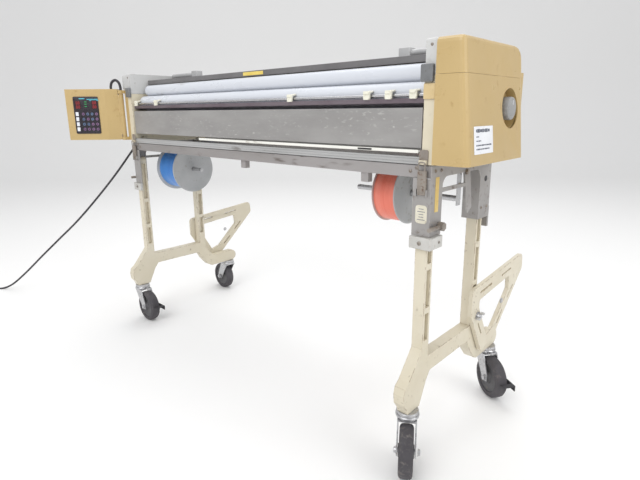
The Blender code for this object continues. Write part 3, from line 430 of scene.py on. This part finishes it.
PASTE = (-0.065, 0.7245)
TOP = from_centre(PASTE, MODULE * 27, 63.4)
PICKUP = from_centre(PASTE, MODULE * 33.5, -66.0)
roller_white = coating("roller_sleeve", (0.60, 0.625, 0.68), (0.68, 0.70, 0.74), (0.24, 0.38), patch=5,
                       amount=0.9, dirt_and_sheen=(0.45, 0.45, 0.46), dirt_and_sheen_amount=0.35, grain=0.006, stretch=(0.3,
                                                                                                    1, 1))
for name, centre, radius in (("top", TOP, 0.0175), ("paste", PASTE, 0.0200), ("pickup", PICKUP, 0.0285)):
    body = f"{name}_roller_assembly"
    end, shaft = 0.518, 0.006
    profile = [(-0.545, shaft), (-end - 0.004, shaft), (-end - 0.0035, radius * 0.62), (-end, radius * 0.66),
               (-end + 0.0002, radius - 0.0022), (-end + 0.0025, radius)]
    profile += [(x, radius) for x in np.linspace(-end + 0.03, end - 0.03, 9)]
    profile += [(-x, r) for x, r in profile[5::-1][:5]] + [(0.5582, shaft)]
    piece(f"{name}_roller_sleeve", lathed(profile, placed((0, *centre)), (1, 0, 0), 64), roller_white, body,
          f"{name}_roller", slot=f"{name}_roller")

# ---- paper guide ---------------------------------------------------------------------------------
# A bright rod across the front of the trough, with six cream plastic clips that slide on it and hold the
# edge of the paper down.
ROD_Y, ROD_Z = -0.0935, 0.7205


def rounded_rect(width, height, radius, corner=4):
    """A rounded rectangle's outline: four quarter circles, corner by corner."""
    radius = min(radius, width / 2 - 1e-6, height / 2 - 1e-6)
    turn = np.linspace(0, math.pi / 2, corner + 1)
    outline = []
    for k, (sx, sy) in enumerate(((1, 1), (-1, 1), (-1, -1), (1, -1))):
        angle = turn + k * math.pi / 2
        outline.append(np.stack([sx * (width / 2 - radius) + radius * np.cos(angle),
                                 sy * (height / 2 - radius) + radius * np.sin(angle)], 1))
    return np.vstack(outline)


def slab(width, height, thick, radius, soft=0.0004, place=None):
    """A rounded plate that rises from Z = 0: its outline is drawn in along a quarter circle of the soft
    radius at both faces. Place is a matrix that carries it to where it belongs."""
    turn = np.linspace(0, math.pi / 2, 4)
    inset = np.concatenate([soft * (1 - np.sin(turn)), soft * (1 - np.cos(turn))])
    rise = np.concatenate([soft * (1 - np.cos(turn)), thick - soft + soft * np.sin(turn)])
    grid = []
    for drawn, z in zip(inset, rise):
        edge = rounded_rect(width - 2 * drawn, height - 2 * drawn, max(radius - drawn, 0.0001))
        grid.append(np.column_stack([edge, np.full(len(edge), z)]))
    points, faces = rings(np.array(grid))
    return moved((points, faces), place)


def moved(shape, place):
    """A shape carried by a matrix."""
    if place is None:
        return shape
    matrix = np.array(place)
    return shape[0] @ matrix[:3, :3].T + matrix[:3, 3], shape[1]


def facing(at, normal, up=(0, 0, 1), turn=0.0):
    """A matrix that puts Z along a normal and Y as near as it goes to up, at a point of the machine's
    frame."""
    normal = Vector(normal).normalized()
    right = Vector(up).cross(normal).normalized()
    over = normal.cross(right)
    spun = Matrix((right, over, normal)).transposed().to_4x4() @ Matrix.Rotation(turn, 4, "Z")
    return Matrix.Translation(Vector(placed(at))) @ spun


clip_cream = coating("clip_plastic", (0.78, 0.76, 0.64), (0.84, 0.82, 0.71), (0.3, 0.45), patch=30,
                     dirt_and_sheen=(0.45, 0.38, 0.25), dirt_and_sheen_amount=0.3)
rod_steel = coating("bright_rod", (0.55, 0.55, 0.56), (0.62, 0.62, 0.63), (0.18, 0.34), 0.95, patch=25,
                    stretch=(0.2, 1, 1))
rod_ends = [(-0.5295, 0.0024), (-0.5290, 0.0028), (0.5290, 0.0028), (0.5295, 0.0024)]
piece("guide_rod_bright", lathed(rod_ends, placed((0, ROD_Y, ROD_Z)), (1, 0, 0), 24), rod_steel, "frame",
      "guide_rod", slot="guide_rod")
clips = []
for x in (-0.512, -0.390, 0.190, 0.402, 0.452, 0.505):
    clips.append(slab(0.015, 0.0150, 0.0045, 0.0015, 0.0007, facing((x, -0.0980, 0.7225), (0, -1, 0))))
    clips.append(slab(0.012, 0.0200, 0.0030, 0.0012, 0.0006, facing((x, -0.0950, 0.7262), (0, -0.25, 1),
                                                                    (0, 1, 0))))
    clips.append(slab(0.013, 0.0040, 0.0060, 0.0012, 0.0006, facing((x, -0.0975, 0.7160), (0, -1, 0))))
piece("guide_clip_set", joined(*clips), clip_cream, "frame", slot="guide_rod")

# ---- front rails ---------------------------------------------------------------------------------
# The head stands on a drawn alloy rail with two shallow grooves. A cream plastic strip above it catches
# drips; the slot in it for the strip's catch is a thin black plate of painted shade.
groove = np.array([(0, 0), (0, 0.0035), (0.0007, 0.0040), (0.0007, 0.0048), (0, 0.0053), (0, 0.0092),
                   (0.0007, 0.0097), (0.0007, 0.0103), (0, 0.0108), (0.0004, 0.0130), (0.0010, 0.0135),
                   (0.0205, 0.0135), (0.0220, 0.0125), (0.0220, 0)])
ends_at = np.linspace(-0.5295, 0.5295, 25)
section = np.stack([np.broadcast_to(ends_at[:, None], (25, len(groove))),
                    np.broadcast_to(groove[:, 0] - 0.1050, (25, len(groove))),
                    np.broadcast_to(groove[:, 1] + 0.5995, (25, len(groove)))], -1)
piece("drawn_front_rail", rings(placed(section)), alloy, "frame", "front_top_rail", slot="front_top_rail")
strip_cream = coating("strip_plastic", (0.80, 0.79, 0.73), (0.86, 0.855, 0.80), (0.28, 0.45), patch=9,
                      dirt_and_sheen=(0.30, 0.26, 0.20), dirt_and_sheen_amount=0.35, stretch=(0.3, 1, 1))
dressed("drip_strip", strip_cream, 0.0008)
# Near-black plates and discs of painted shade, standing in for the dark inside of the slot and the holes.
painted_hole_shade = coating("painted_hole_shade", (0.014, 0.013, 0.014), (0.022, 0.02, 0.021), (0.35, 0.55), patch=20,
                      dirt_and_sheen=(0.10, 0.09, 0.08), dirt_and_sheen_amount=0.4)
piece("strip_slot", slab(0.034, 0.0032, 0.0008, 0.0014, 0.0002, facing((0.402, -0.1050, 0.6222), (0, -1, 0))),
      painted_hole_shade, "frame", slot="drip_strip")

# ---- gear housing --------------------------------------------------------------------------------
# Two moulded halves in mustard enamel. The lower half has a round recess for the thickness knob and a
# plain white rating plate with rows of print too small to read; the halves meet in a dark seam.
lean = (0.621 - 0.602) / (0.812 - 0.601)


def on_side(y, z, proud=0.0):
    """A point on the housing's leaning side, or a little proud of it."""
    return (0.602 + lean * (0.812 - z) + proud, y, z)


plate_white = coating("rating_plate_white", (0.80, 0.81, 0.84), (0.85, 0.86, 0.88), (0.3, 0.45), patch=20,
                      dirt_and_sheen=(0.5, 0.45, 0.35), dirt_and_sheen_amount=0.3)
print_grey = coating("print_grey", (0.10, 0.11, 0.14), (0.16, 0.17, 0.2), (0.4, 0.5), patch=60)
side_out = (1, 0, lean)
piece("rating_plate", slab(0.074, 0.047, 0.0007, 0.0015, 0.0002, facing(on_side(-0.051, 0.6435, 0.0002),
                                                                        side_out)), plate_white, "frame",
      slot="right_lower_cover")
rows_of_print = []
for row, (start, wide, tall) in enumerate(((-0.0805, 0.056, 0.0060), (-0.0800, 0.010, 0.0022),
                                           (-0.0800, 0.018, 0.0022), (-0.0810, 0.060, 0.0026),
                                           (-0.0810, 0.052, 0.0022))):
    height = 0.6595 - (0, 0.0100, 0.0170, 0.0245, 0.0310)[row]
    dash = 0.0
    k = 0
    while dash < wide - 0.002:
        run = 0.0028 + 0.0024 * ((k * 7 + row * 3) % 4)
        run = min(run, wide - dash)
        rows_of_print.append(slab(run, tall * (0.8 + 0.2 * (k % 2)), 0.0004, 0.0003, 0.0001,
                                  facing(on_side(start + dash + run / 2, height, 0.00075), side_out)))
        dash += run + 0.0012
        k += 1
piece("rating_plate_print", joined(*rows_of_print), print_grey, "frame", slot="right_lower_cover")

KNOB_Y, KNOB_Z = 0.0665, 0.6960
knob_grey = coating("knob_grey", (0.27, 0.27, 0.265), (0.33, 0.33, 0.325), (0.35, 0.5), patch=30,
                    worn=(0.5, 0.5, 0.49), wear=0.0008, dirt_and_sheen=(0.18, 0.16, 0.13), dirt_and_sheen_amount=0.4)


def fluted(profile, centre, flutes, depth, sides=144):
    """A turned knob along X whose rim is cut by shallow flutes: the radius falls by the depth times a
    cosine of the angle, where the profile says so."""
    profile = np.asarray(profile, float)
    angle = np.linspace(0, 2 * math.pi, sides, endpoint=False)
    radius = profile[:, 1:2] - depth * profile[:, 2:3] * (0.5 + 0.5 * np.cos(flutes * angle))
    grid = np.stack(np.broadcast_arrays(profile[:, :1], radius * np.cos(angle), radius * np.sin(angle)), -1)
    return rings(grid + np.asarray(centre))


knob_profile = [(0.5560, 0.0045, 0), (0.5933, 0.0045, 0), (0.5933, 0.0208, 0), (0.5939, 0.0214, 1),
                (0.6135, 0.0213, 1), (0.6155, 0.0205, 0.6), (0.6165, 0.0180, 0), (0.6165, 0.0150, 0),
                (0.6171, 0.0145, 0), (0.6173, 0.0060, 0)]
piece("thickness_knob_fluted", fluted(knob_profile, placed((0, KNOB_Y, KNOB_Z)), 36, 0.0007), knob_grey,
      "knob", "thickness_knob", slot="thickness_knob")
piece("knob_mark", slab(0.0014, 0.0085, 0.0003, 0.0004, 0.0001, facing((0.6173, KNOB_Y, KNOB_Z + 0.0110),
                                                                       (1, 0, 0))), plate_white, "knob",
      slot="thickness_knob")

# ---- front blocks of the side plates -------------------------------------------------------------
# Bolted to the front ends of the side plates: a dark grey keeper above the seam on each, and a tan bearing
# retainer below it on the right.
keeper_grey = coating("keeper_grey", (0.165, 0.17, 0.175), (0.21, 0.215, 0.22), (0.35, 0.5), 0.3, patch=25,
                      worn=(0.4, 0.4, 0.4), wear=0.001, dirt_and_sheen=(0.1, 0.08, 0.06), dirt_and_sheen_amount=0.4)
tan_block = coating("tan_plastic", (0.62, 0.47, 0.24), (0.68, 0.53, 0.30), (0.35, 0.5), patch=25,
                    dirt_and_sheen=(0.3, 0.2, 0.1), dirt_and_sheen_amount=0.5)
for side in (-1, 1):
    piece(f"keeper_{'left' if side < 0 else 'right'}", slab(0.0235, 0.0290, 0.0078, 0.0022, 0.0012,
                                                            facing((side * 0.5375, -0.1063,
                                                                    0.7535 + 0.0020), (0, -1, 0))),
          keeper_grey, "upper_unit", slot="hood")
piece("bearing_retainer", slab(0.0220, 0.0262, 0.0032, 0.0018, 0.0008, facing((0.5412, -0.1063, 0.7256),
                                                                              (0, -1, 0))), tan_block,
      "frame", slot="right_lower_plate")

# ---- hood --------------------------------------------------------------------------------------
# The roller hood is a dark grey pressing. Two light grey blocks on top hold the ends of its stay bars, and a
# plain yellow patch sits on its front lip.
block_grey = coating("block_grey", (0.42, 0.42, 0.42), (0.50, 0.50, 0.50), (0.35, 0.5), 0.2, patch=25,
                     worn=(0.6, 0.6, 0.6), wear=0.0010, dirt_and_sheen=(0.2, 0.17, 0.13), dirt_and_sheen_amount=0.3)
blocks = []
for side in (-1, 1):
    blocks.append(slab(0.0275, 0.0235, 0.0262, 0.0018, 0.0009, facing((side * 0.391, 0.051, 0.7948),
                                                                      (0, 0, 1), (0, 1, 0))))
    bar = [(0.0, 0.0068), (0.122, 0.0068), (0.1245, 0.0062)]
    blocks.append(lathed(bar, placed((side * 0.4045, 0.051, 0.8110)), (side, 0, 0), 28))
piece("hood_blocks", joined(*blocks), block_grey, "upper_unit", slot="hood")
sticker_yellow = coating("sticker_yellow", (0.76, 0.56, 0.10), (0.80, 0.62, 0.16), (0.3, 0.45), patch=40,
                         dirt_and_sheen=(0.35, 0.25, 0.08), dirt_and_sheen_amount=0.3)
piece("hood_sticker", slab(0.078, 0.0085, 0.0004, 0.0010, 0.0001, facing((0.0, -0.0443, 0.7874), (0, -1, 0))),
      sticker_yellow, "upper_unit", slot="hood")

# ---- control box ---------------------------------------------------------------------------------
# A folded sheet box on a vertical hinge, turned to face the operator. Its face has a black membrane
# keypad: a display with red and green digits under a cyan bar, and sixteen round keys beside a column of
# white ones. A black corrugated conduit brings its wires over from the hinge.
BOX_X, BOX_Y, BOX_TURN = -0.584, -0.112, math.radians(42.5)
FACE_Y = -0.0123
flip = Matrix(((-1, 0, 0), (0, 1, 0), (0, 0, 1)))
BOX = Matrix.Translation(Vector(placed((BOX_X, BOX_Y, 0)))) @ (Matrix.Rotation(BOX_TURN, 3,
                                                                               "Z") @ flip).to_4x4()


def on_face(u, z, proud):
    """A matrix to a place on the control box's face: u runs out from the hinge, z up, and the shape's
    own Z points out of the face, which its X axis crosses from the hinge's far side to the hinge."""
    return BOX @ Matrix.Translation((u, FACE_Y - proud, z)) @ Matrix(((1, 0, 0), (0, 0, -1),
                                                                      (0, 1, 0))).to_4x4()


def righted(shape):
    """A shape carried by a mirroring matrix, with its faces turned back out."""
    return shape[0], [face[::-1] for face in shape[1]]


def key(u, z, wide, tall, radius, proud, thick, soft=0.0004):
    """A raised plate on the keypad."""
    return righted(slab(wide, tall, thick, radius, soft, on_face(u, z, proud)))


def with_painted_glow(name, colour, strength):
    """A display mark in its own colour, with the same colour as a weak emission: a painted glow."""
    material = coating(name, colour, tuple(c * 0.85 for c in colour), (0.25, 0.4), patch=60)
    shader = material.node_tree.nodes["Principled BSDF"]
    shader.inputs["Emission Color"].default_value = (*colour, 1.0)
    shader.inputs["Emission Strength"].default_value = strength
    return material


U0, U1, Z0, Z1 = 0.0715, 0.1520, 0.6280, 0.7450
keypad_black = coating("keypad_black", (0.016, 0.012, 0.018), (0.024, 0.018, 0.026), (0.22, 0.35), patch=20,
                       dirt_and_sheen=(0.09, 0.07, 0.07), dirt_and_sheen_amount=0.3)
piece("keypad_plate", key((U0 + U1) / 2, (Z0 + Z1) / 2, U1 - U0, Z1 - Z0, 0.004, 0.0004, 0.0014),
      keypad_black, "control_unit", "control_keypad", slot="control_keypad")
# The digits and the cyan bar below carry a painted glow.
red_digit = with_painted_glow("red_digit", (0.42, 0.02, 0.025), 0.12)
green_digit = with_painted_glow("green_digit", (0.03, 0.35, 0.10), 0.12)
cyan_bar = with_painted_glow("cyan_bar", (0.10, 0.55, 0.68), 0.15)
smoke = coating("display_window", (0.035, 0.012, 0.016), (0.045, 0.016, 0.02), (0.12, 0.2), patch=20)
key_purple = coating("round_key", (0.055, 0.032, 0.078), (0.075, 0.045, 0.10), (0.3, 0.4), patch=40)
key_blue = coating("key_ring_blue", (0.12, 0.25, 0.40), (0.16, 0.30, 0.45), (0.3, 0.4), patch=40)
key_pink = coating("key_ring_pink", (0.30, 0.16, 0.30), (0.36, 0.20, 0.35), (0.3, 0.4), patch=40)
key_white = coating("key_white", (0.74, 0.76, 0.82), (0.80, 0.82, 0.86), (0.3, 0.4), patch=40)
FACE = 0.0018
piece("display_windows", joined(*[key(u, 0.7195, w, 0.027, 0.0015, FACE, 0.0004, 0.0001)
                                  for u, w in ((0.0840, 0.018), (0.1375, 0.019))]), smoke, "control_unit",
      slot="control_keypad")


def digits(u, z, tall):
    """One seven-bar figure, all bars shown."""
    half, thick = tall / 2, tall * 0.14
    bars = [(0, half, half * 0.9, thick), (0, 0, half * 0.9, thick), (0, -half, half * 0.9, thick)]
    bars += [(s * half * 0.5, v * half / 2, thick, half * 0.8) for s in (-1, 1) for v in (-1, 1)]
    return [key(u + du, z + dz, w, h, thick * 0.3, FACE + 0.0004, 0.0002, 0.00005) for du, dz, w, h in bars]


piece("red_digits", joined(*[bar for u in (0.0805, 0.0870, 0.1335, 0.1405) for z in (0.7130, 0.7255)
                             for bar in digits(u, z, 0.0080)]), red_digit, "control_unit",
      slot="control_keypad")
piece("green_digits", joined(*[key(u, z, 0.008, 0.0022, 0.0008, FACE, 0.0003, 0.0001) for u in (0.1120,)
                               for z in (0.7285, 0.7215, 0.7140)]), green_digit, "control_unit",
      slot="control_keypad")
piece("cyan_lines", joined(key(0.0890, 0.7365, 0.036, 0.0022, 0.0008, FACE, 0.0003, 0.0001),
                           key(0.0840, 0.7325, 0.030, 0.0016, 0.0006, FACE, 0.0003, 0.0001),
                           key(0.1230, 0.7385, 0.018, 0.0022, 0.0008, FACE, 0.0003, 0.0001)), cyan_bar,
      "control_unit", slot="control_keypad")
caps, blue_rings, pink_rings, whites = [], [], [], []
for row in range(4):
    z = 0.6905 - row * 0.0160
    for column in range(4):
        u = 0.0800 + column * 0.0142
        caps.append(key(u, z, 0.0098, 0.0098, 0.0049, FACE, 0.0010, 0.0004))
        ring_set = pink_rings if column == 0 or row == 3 or (row + column) % 3 == 0 else blue_rings
        circle = np.linspace(0, 2 * math.pi, 25)[:, None]
        ring_path = np.hstack([u + 0.0034 * np.cos(circle), np.full((25, 1), FACE_Y - FACE - 0.0010),
                               z + 0.0034 * np.sin(circle)])
        matrix = np.array(BOX)
        ring_set.append(along(ring_path @ matrix[:3, :3].T + matrix[:3, 3], 0.0007, 6))
    whites.append(key(0.1425, z, 0.0092, 0.0124, 0.0012, FACE, 0.0012, 0.0004))
piece("round_keys", joined(*caps), key_purple, "control_unit", slot="control_keypad")
piece("round_key_rings_blue", joined(*blue_rings), key_blue, "control_unit", slot="control_keypad")
piece("round_key_rings_pink", joined(*pink_rings), key_pink, "control_unit", slot="control_keypad")
piece("white_keys", joined(*whites), key_white, "control_unit", slot="control_keypad")

conduit_route = [(0.0350, 0.0100, 0.7683), (0.0345, 0.0098, 0.7780), (0.0290, 0.0078, 0.7900),
                 (0.0165, 0.0042, 0.7960), (0.0050, 0.0008, 0.7890), (0.0005, 0.0, 0.7760),
                 (0.0, 0.0, 0.7643)]
conduit_path = eased(conduit_route, 0.0006)
matrix = np.array(BOX)
waves = 0.0040 + 0.0004 * np.cos(np.arange(len(conduit_path)) * 2 * math.pi / 5)
piece("corrugated_conduit", along(conduit_path @ matrix[:3, :3].T + matrix[:3, 3], waves, 16), black_rubber,
      "control_unit", "control_cable", slot="control_cable")

# ---- tape reels ----------------------------------------------------------------------------------
# Seam tape wound on two plastic reels that turn freely on steel spindles under the trough: a coral red
# one on the right and a blue one on the left, each between pale grey flanges.
flange_grey = coating("reel_flange_grey", (0.40, 0.41, 0.42), (0.46, 0.47, 0.48), (0.3, 0.5), patch=14,
                      dirt_and_sheen=(0.24, 0.21, 0.17), dirt_and_sheen_amount=0.4)
pink_flange = coating("reel_flange_pale", (0.50, 0.36, 0.34), (0.57, 0.43, 0.41), (0.25, 0.4), patch=14,
                      dirt_and_sheen=(0.3, 0.2, 0.18), dirt_and_sheen_amount=0.3)
tape_red = coating("red_tape", (0.78, 0.17, 0.11), (0.84, 0.25, 0.18), (0.25, 0.4), patch=3, grain=0.04,
                   grain_scale=900, stretch=(14, 0.5, 0.5))
tape_blue = coating("blue_tape", (0.045, 0.20, 0.58), (0.08, 0.28, 0.68), (0.25, 0.4), patch=3, grain=0.04,
                    grain_scale=900, stretch=(14, 0.5, 0.5))


REEL_Y, RED_Z, BLUE_Z = 0.020, 0.522, 0.512


def reel_disc(x, rim, z, outward, hub=0.0068):
    """A dished flange: thick at the hub and at the rolled rim, with a shallow ring pressed in between."""
    profile = [(0.0, hub), (0.0, rim - 0.001), (0.0006, rim), (0.0022, rim), (0.0028, rim - 0.001),
               (0.0024, rim - 0.005), (0.0018, rim - 0.007), (0.0018, 0.030), (0.0024, 0.027),
               (0.0030, 0.022), (0.0030, hub)]
    return lathed([(x + outward * a, r) for a, r in profile], placed((0, REEL_Y, z)), (1, 0, 0), 96,
                  closed=True)


def tape_roll(x0, x1, radius, z, hub=0.0080):
    """The wound tape: its outside is a row of fine rounded turns, each a little higher in its middle."""
    x = np.linspace(x0, x1, 61)
    outside = [(a, radius - 0.0006 + 0.0006 * abs(math.cos(k * math.pi / 5))) for k, a in enumerate(x)]
    return lathed([(x0, hub)] + outside + [(x1, hub)], placed((0, REEL_Y, z)), (1, 0, 0), 96, closed=True)


piece("red_reel_flange_left", reel_disc(0.3792, 0.0665, RED_Z, -1), pink_flange, "red_tape", "red_reel",
      slot="red_reel")
piece("red_reel_flange_right", reel_disc(0.4308, 0.0665, RED_Z, 1), flange_grey, "red_tape", slot="red_reel")
piece("red_tape_roll", tape_roll(0.3794, 0.4306, 0.0625, RED_Z), tape_red, "red_tape", slot="red_reel")
piece("blue_reel_flange_left", reel_disc(-0.4988, 0.0750, BLUE_Z, -1), flange_grey, "blue_tape", "blue_reel",
      slot="blue_reel")
piece("blue_reel_flange_right", reel_disc(-0.4032, 0.0750, BLUE_Z, 1), flange_grey, "blue_tape",
      slot="blue_reel")
piece("blue_tape_roll", tape_roll(-0.4986, -0.4034, 0.0655, BLUE_Z), tape_blue, "blue_tape", slot="blue_reel")

# ---- caster wheels -------------------------------------------------------------------------------
# A dark rubber tyre moulded on a grey hub, with a bushed bore. It turns on the bolt through the fork.
tyre_rubber = coating("caster_rubber", (0.052, 0.048, 0.054), (0.085, 0.079, 0.086), (0.6, 0.85), patch=14,
                      amount=0.9, dirt_and_sheen=(0.16, 0.145, 0.135), dirt_and_sheen_amount=0.8, grain=0.05, grain_scale=240)
hub_grey = coating("wheel_hub_grey", (0.085, 0.083, 0.088), (0.12, 0.118, 0.122), (0.5, 0.7), patch=20,
                   dirt_and_sheen=(0.2, 0.17, 0.13), dirt_and_sheen_amount=0.5)
TRAIL, LEG_X = 0.033, 0.5344
CASTERS = (("front_left", -1, -0.1276, (1.0, 0.0)), ("front_right", 1, -0.1276, (0.52, -0.854)),
           ("rear_left", -1, 0.2325, (-1.0, 0.04)), ("rear_right", 1, 0.2325, (0.824, -0.566)))
tyre_profile = [(-0.0110, 0.0352), (-0.0138, 0.0370), (-0.0139, 0.0430), (-0.0125, 0.0470), (-0.0095, 0.0493),
                (-0.0045, 0.0500), (0.0045, 0.0500), (0.0095, 0.0493), (0.0125, 0.0470), (0.0139, 0.0430),
                (0.0138, 0.0370), (0.0110, 0.0352)]
hub_profile = [(-0.0157, 0.0053), (-0.0157, 0.0120), (-0.0150, 0.0128), (-0.0100, 0.0150), (-0.0086, 0.0190),
               (-0.0086, 0.0310), (-0.0105, 0.0345), (-0.0108, 0.0358), (0.0108, 0.0358), (0.0105, 0.0345),
               (0.0086, 0.0310), (0.0086, 0.0190), (0.0100, 0.0150), (0.0150, 0.0128), (0.0157, 0.0120),
               (0.0157, 0.0053)]
for name, side, y, heading in CASTERS:
    angle = math.atan2(heading[1], heading[0])
    axle = placed((side * LEG_X + TRAIL * math.cos(angle), y + TRAIL * math.sin(angle), 0.050))
    across_wheel = (-math.sin(angle), math.cos(angle), 0.0)
    piece(f"{name}_tyre", lathed(tyre_profile, axle, across_wheel, 72, closed=True), tyre_rubber,
          f"{name}_wheel_body", f"{name}_wheel", slot=f"{name}_wheel")
    piece(f"{name}_hub", lathed(hub_profile, axle, across_wheel, 48, closed=True), hub_grey,
          f"{name}_wheel_body", slot=f"{name}_wheel")
    bolts = []
    for end in (-1, 1):
        out = Vector(across_wheel) * end
        head = [(0.0, 0.0078), (0.0010, 0.0078), (0.0012, 0.0060), (0.0042, 0.0058), (0.0050, 0.0048)]
        bolts.append(lathed(head, axle + np.array(out) * (0.0193 if end < 0 else 0.0221), out, 24))
    swivel = placed((side * LEG_X, y, 0))
    bolts.append(lathed([(0.1068, 0.0205), (0.1078, 0.0232), (0.1115, 0.0238), (0.1135, 0.0225),
                         (0.1140, 0.0205), (0.1150, 0.0200), (0.1160, 0.0222), (0.1190, 0.0222),
                         (0.1208, 0.0200)], swivel, (0, 0, 1), 48))
    piece(f"{name}_caster_bolts", joined(*bolts), zinc, f"{name}_caster", slot=f"{name}_fork")

# ---- fasteners and small fittings ----------------------------------------------------------------
# Pan-head screws in the pressings, hexagon bolts on the posts, the latches' wire loops and strike plates, and
# the wing bolts that clamp the roll arms.
def screw(at, normal, radius=0.0030, height=0.0016):
    """A pan-head screw: a low dome with a sunk middle."""
    head = [(0.0, radius), (height * 0.45, radius * 0.98), (height * 0.85, radius * 0.75),
            (height, radius * 0.42), (height * 0.7, radius * 0.30), (height * 0.4, radius * 0.26)]
    return lathed(head, placed(at), normal, 16)


def bolt(at, normal, across_flats=0.0075, height=0.0030):
    """A hexagon bolt head on a round washer."""
    washer = lathed([(0.0, across_flats * 0.72), (0.0008, across_flats * 0.72)], placed(at), normal, 20)
    lift = placed(at) + np.array(normal, float) / np.linalg.norm(normal) * 0.0008
    radius = across_flats / math.sqrt(3)
    return joined(washer, lathed([(0.0, radius), (height - 0.0006, radius), (height, radius * 0.86)],
                                 lift, normal, 6))


PLATE_SIDE = 0.5516
small = []
for side in (-1, 1):
    for y, z in ((-0.092, 0.588), (-0.071, 0.588), (0.106, 0.588), (0.132, 0.588), (0.107, 0.492),
                 (0.133, 0.492)):
        small.append(screw((side * PLATE_SIDE, y, z), (side, 0, 0), 0.0034, 0.0018))
    small.append(bolt((side * PLATE_SIDE, 0.030, 0.576), (side, 0, 0), 0.0085))
    for x, z in ((0.506, 0.5865), (0.519, 0.5930)):
        small.append(screw((side * x, -0.1031, z), (0, -1, 0), 0.0034, 0.0020))
    small.append(screw((side * 0.535, -0.1116, 0.4560), (0, -1, 0), 0.0040, 0.0022))
    small.append(screw((side * 0.5582, -0.0800, 0.4560), (side, 0, 0), 0.0026, 0.0014))
    small.append(screw((side * 0.5416, -0.1061, 0.8010), (0, -1, 0), 0.0026, 0.0014))
piece("frame_screws", joined(*small), aged_zinc, "frame", slot="right_end_frame")
# The holes in the posts are thin black discs of painted shade.
holes = []
for side in (-1, 1):
    holes.append(lathed([(0.0, 0.0062), (0.0003, 0.0062)], placed((side * PLATE_SIDE, 0.1205, 0.553)),
                        (side, 0, 0), 24))
piece("post_holes", joined(*holes), painted_hole_shade, "frame", slot="right_end_frame")

label_cream = coating("height_label", (0.66, 0.62, 0.50), (0.72, 0.68, 0.57), (0.4, 0.55), patch=30,
                      dirt_and_sheen=(0.25, 0.18, 0.1), dirt_and_sheen_amount=0.6)
strip_yellow = coating("yellow_tape_mark", (0.66, 0.47, 0.14), (0.72, 0.54, 0.20), (0.35, 0.5), patch=25,
                       dirt_and_sheen=(0.3, 0.2, 0.08), dirt_and_sheen_amount=0.6)
piece("post_label", slab(0.024, 0.034, 0.0004, 0.006, 0.0001, facing((0.5335, -0.1056, 0.5095), (0, -1, 0))),
      label_cream, "frame", slot="right_end_frame")
piece("post_yellow_mark", slab(0.013, 0.064, 0.0004, 0.001, 0.0001, facing((0.5516, -0.0840, 0.5450),
                                                                           (1, 0, 0))), strip_yellow,
      "frame", slot="right_end_frame")

marks = [slab(wide, 0.0011, 0.0003, 0.0004, 0.0001, facing((0.5335, -0.10595, 0.4995 + 0.0050 * k),
                                                           (0, -1, 0))) for k,
         wide in enumerate((0.016, 0.010, 0.010, 0.016, 0.010))]
piece("post_label_ticks", joined(*marks), print_grey, "frame", slot="right_end_frame")
# The holes in the strike plates are thin black discs of painted shade.
strikes, strike_holes = [], []
for side in (-1, 1):
    strikes.append(slab(0.0180, 0.0270, 0.0012, 0.0030, 0.0004, facing((side * 0.535, -0.1068, 0.6125),
                                                                       (0, -1, 0))))
    strike_holes.append(lathed([(0.0, 0.0026), (0.0003, 0.0026)], placed((side * 0.535, -0.1074, 0.6190)),
                               (0, -1, 0), 20))
piece("strike_plates", joined(*strikes), aged_zinc, "frame", slot="right_lower_plate")
piece("strike_plate_holes", joined(*strike_holes), painted_hole_shade, "frame", slot="right_lower_plate")

for side, name in ((-1, "left"), (1, "right")):
    lever = [slab(0.0165, 0.0400, 0.0022, 0.0030, 0.0008, facing((side * 0.535, -0.1108, 0.5690),
                                                                 (0, -1, 0.0)))]
    lever.append(slab(0.0100, 0.0120, 0.0026, 0.0030, 0.0010, facing((side * 0.535, -0.1122, 0.5560),
                                                                     (0, -1, 0))))
    loop = [(side * 0.535 - 0.0065, -0.1105, 0.5700), (side * 0.535 - 0.0065, -0.1122, 0.5860),
            (side * 0.535 - 0.0065, -0.1128, 0.5990), (side * 0.535 - 0.0045, -0.1130, 0.6040),
            (side * 0.535 + 0.0045, -0.1130, 0.6040), (side * 0.535 + 0.0065, -0.1128, 0.5990),
            (side * 0.535 + 0.0065, -0.1122, 0.5860), (side * 0.535 + 0.0065, -0.1105, 0.5700)]
    lever.append(along(eased(placed(loop), 0.0015), 0.0012, 8))
    piece(f"latch_lever_{name}", joined(*lever), aged_zinc, f"{name}_latch", slot=f"latch_{name}")

for side, name in ((-1, "left"), (1, "right")):
    out = (side, 0, 0)
    wing = [lathed([(0.0, 0.0095), (0.0015, 0.0095), (0.0016, 0.0060), (0.0090, 0.0050), (0.0100, 0.0040)],
                   placed((side * 0.5577, 0.1146, 0.2440)), out, 24)]
    for lean_to in (-1, 1):
        wing.append(slab(0.0130, 0.0085, 0.0022, 0.0035, 0.0009,
                         facing((side * 0.5640, 0.1146 + lean_to * 0.0095, 0.2440 + lean_to * 0.0030),
                                (0.1, -0.3, 1.0), (0, 0.3, 1))))
    wing.append(bolt((side * 0.5577, 0.2440, 0.2410), out, 0.0095))
    piece(f"wing_bolt_{name}", joined(*wing), zinc, f"{name}_arm", slot=f"roll_arm_{name}")
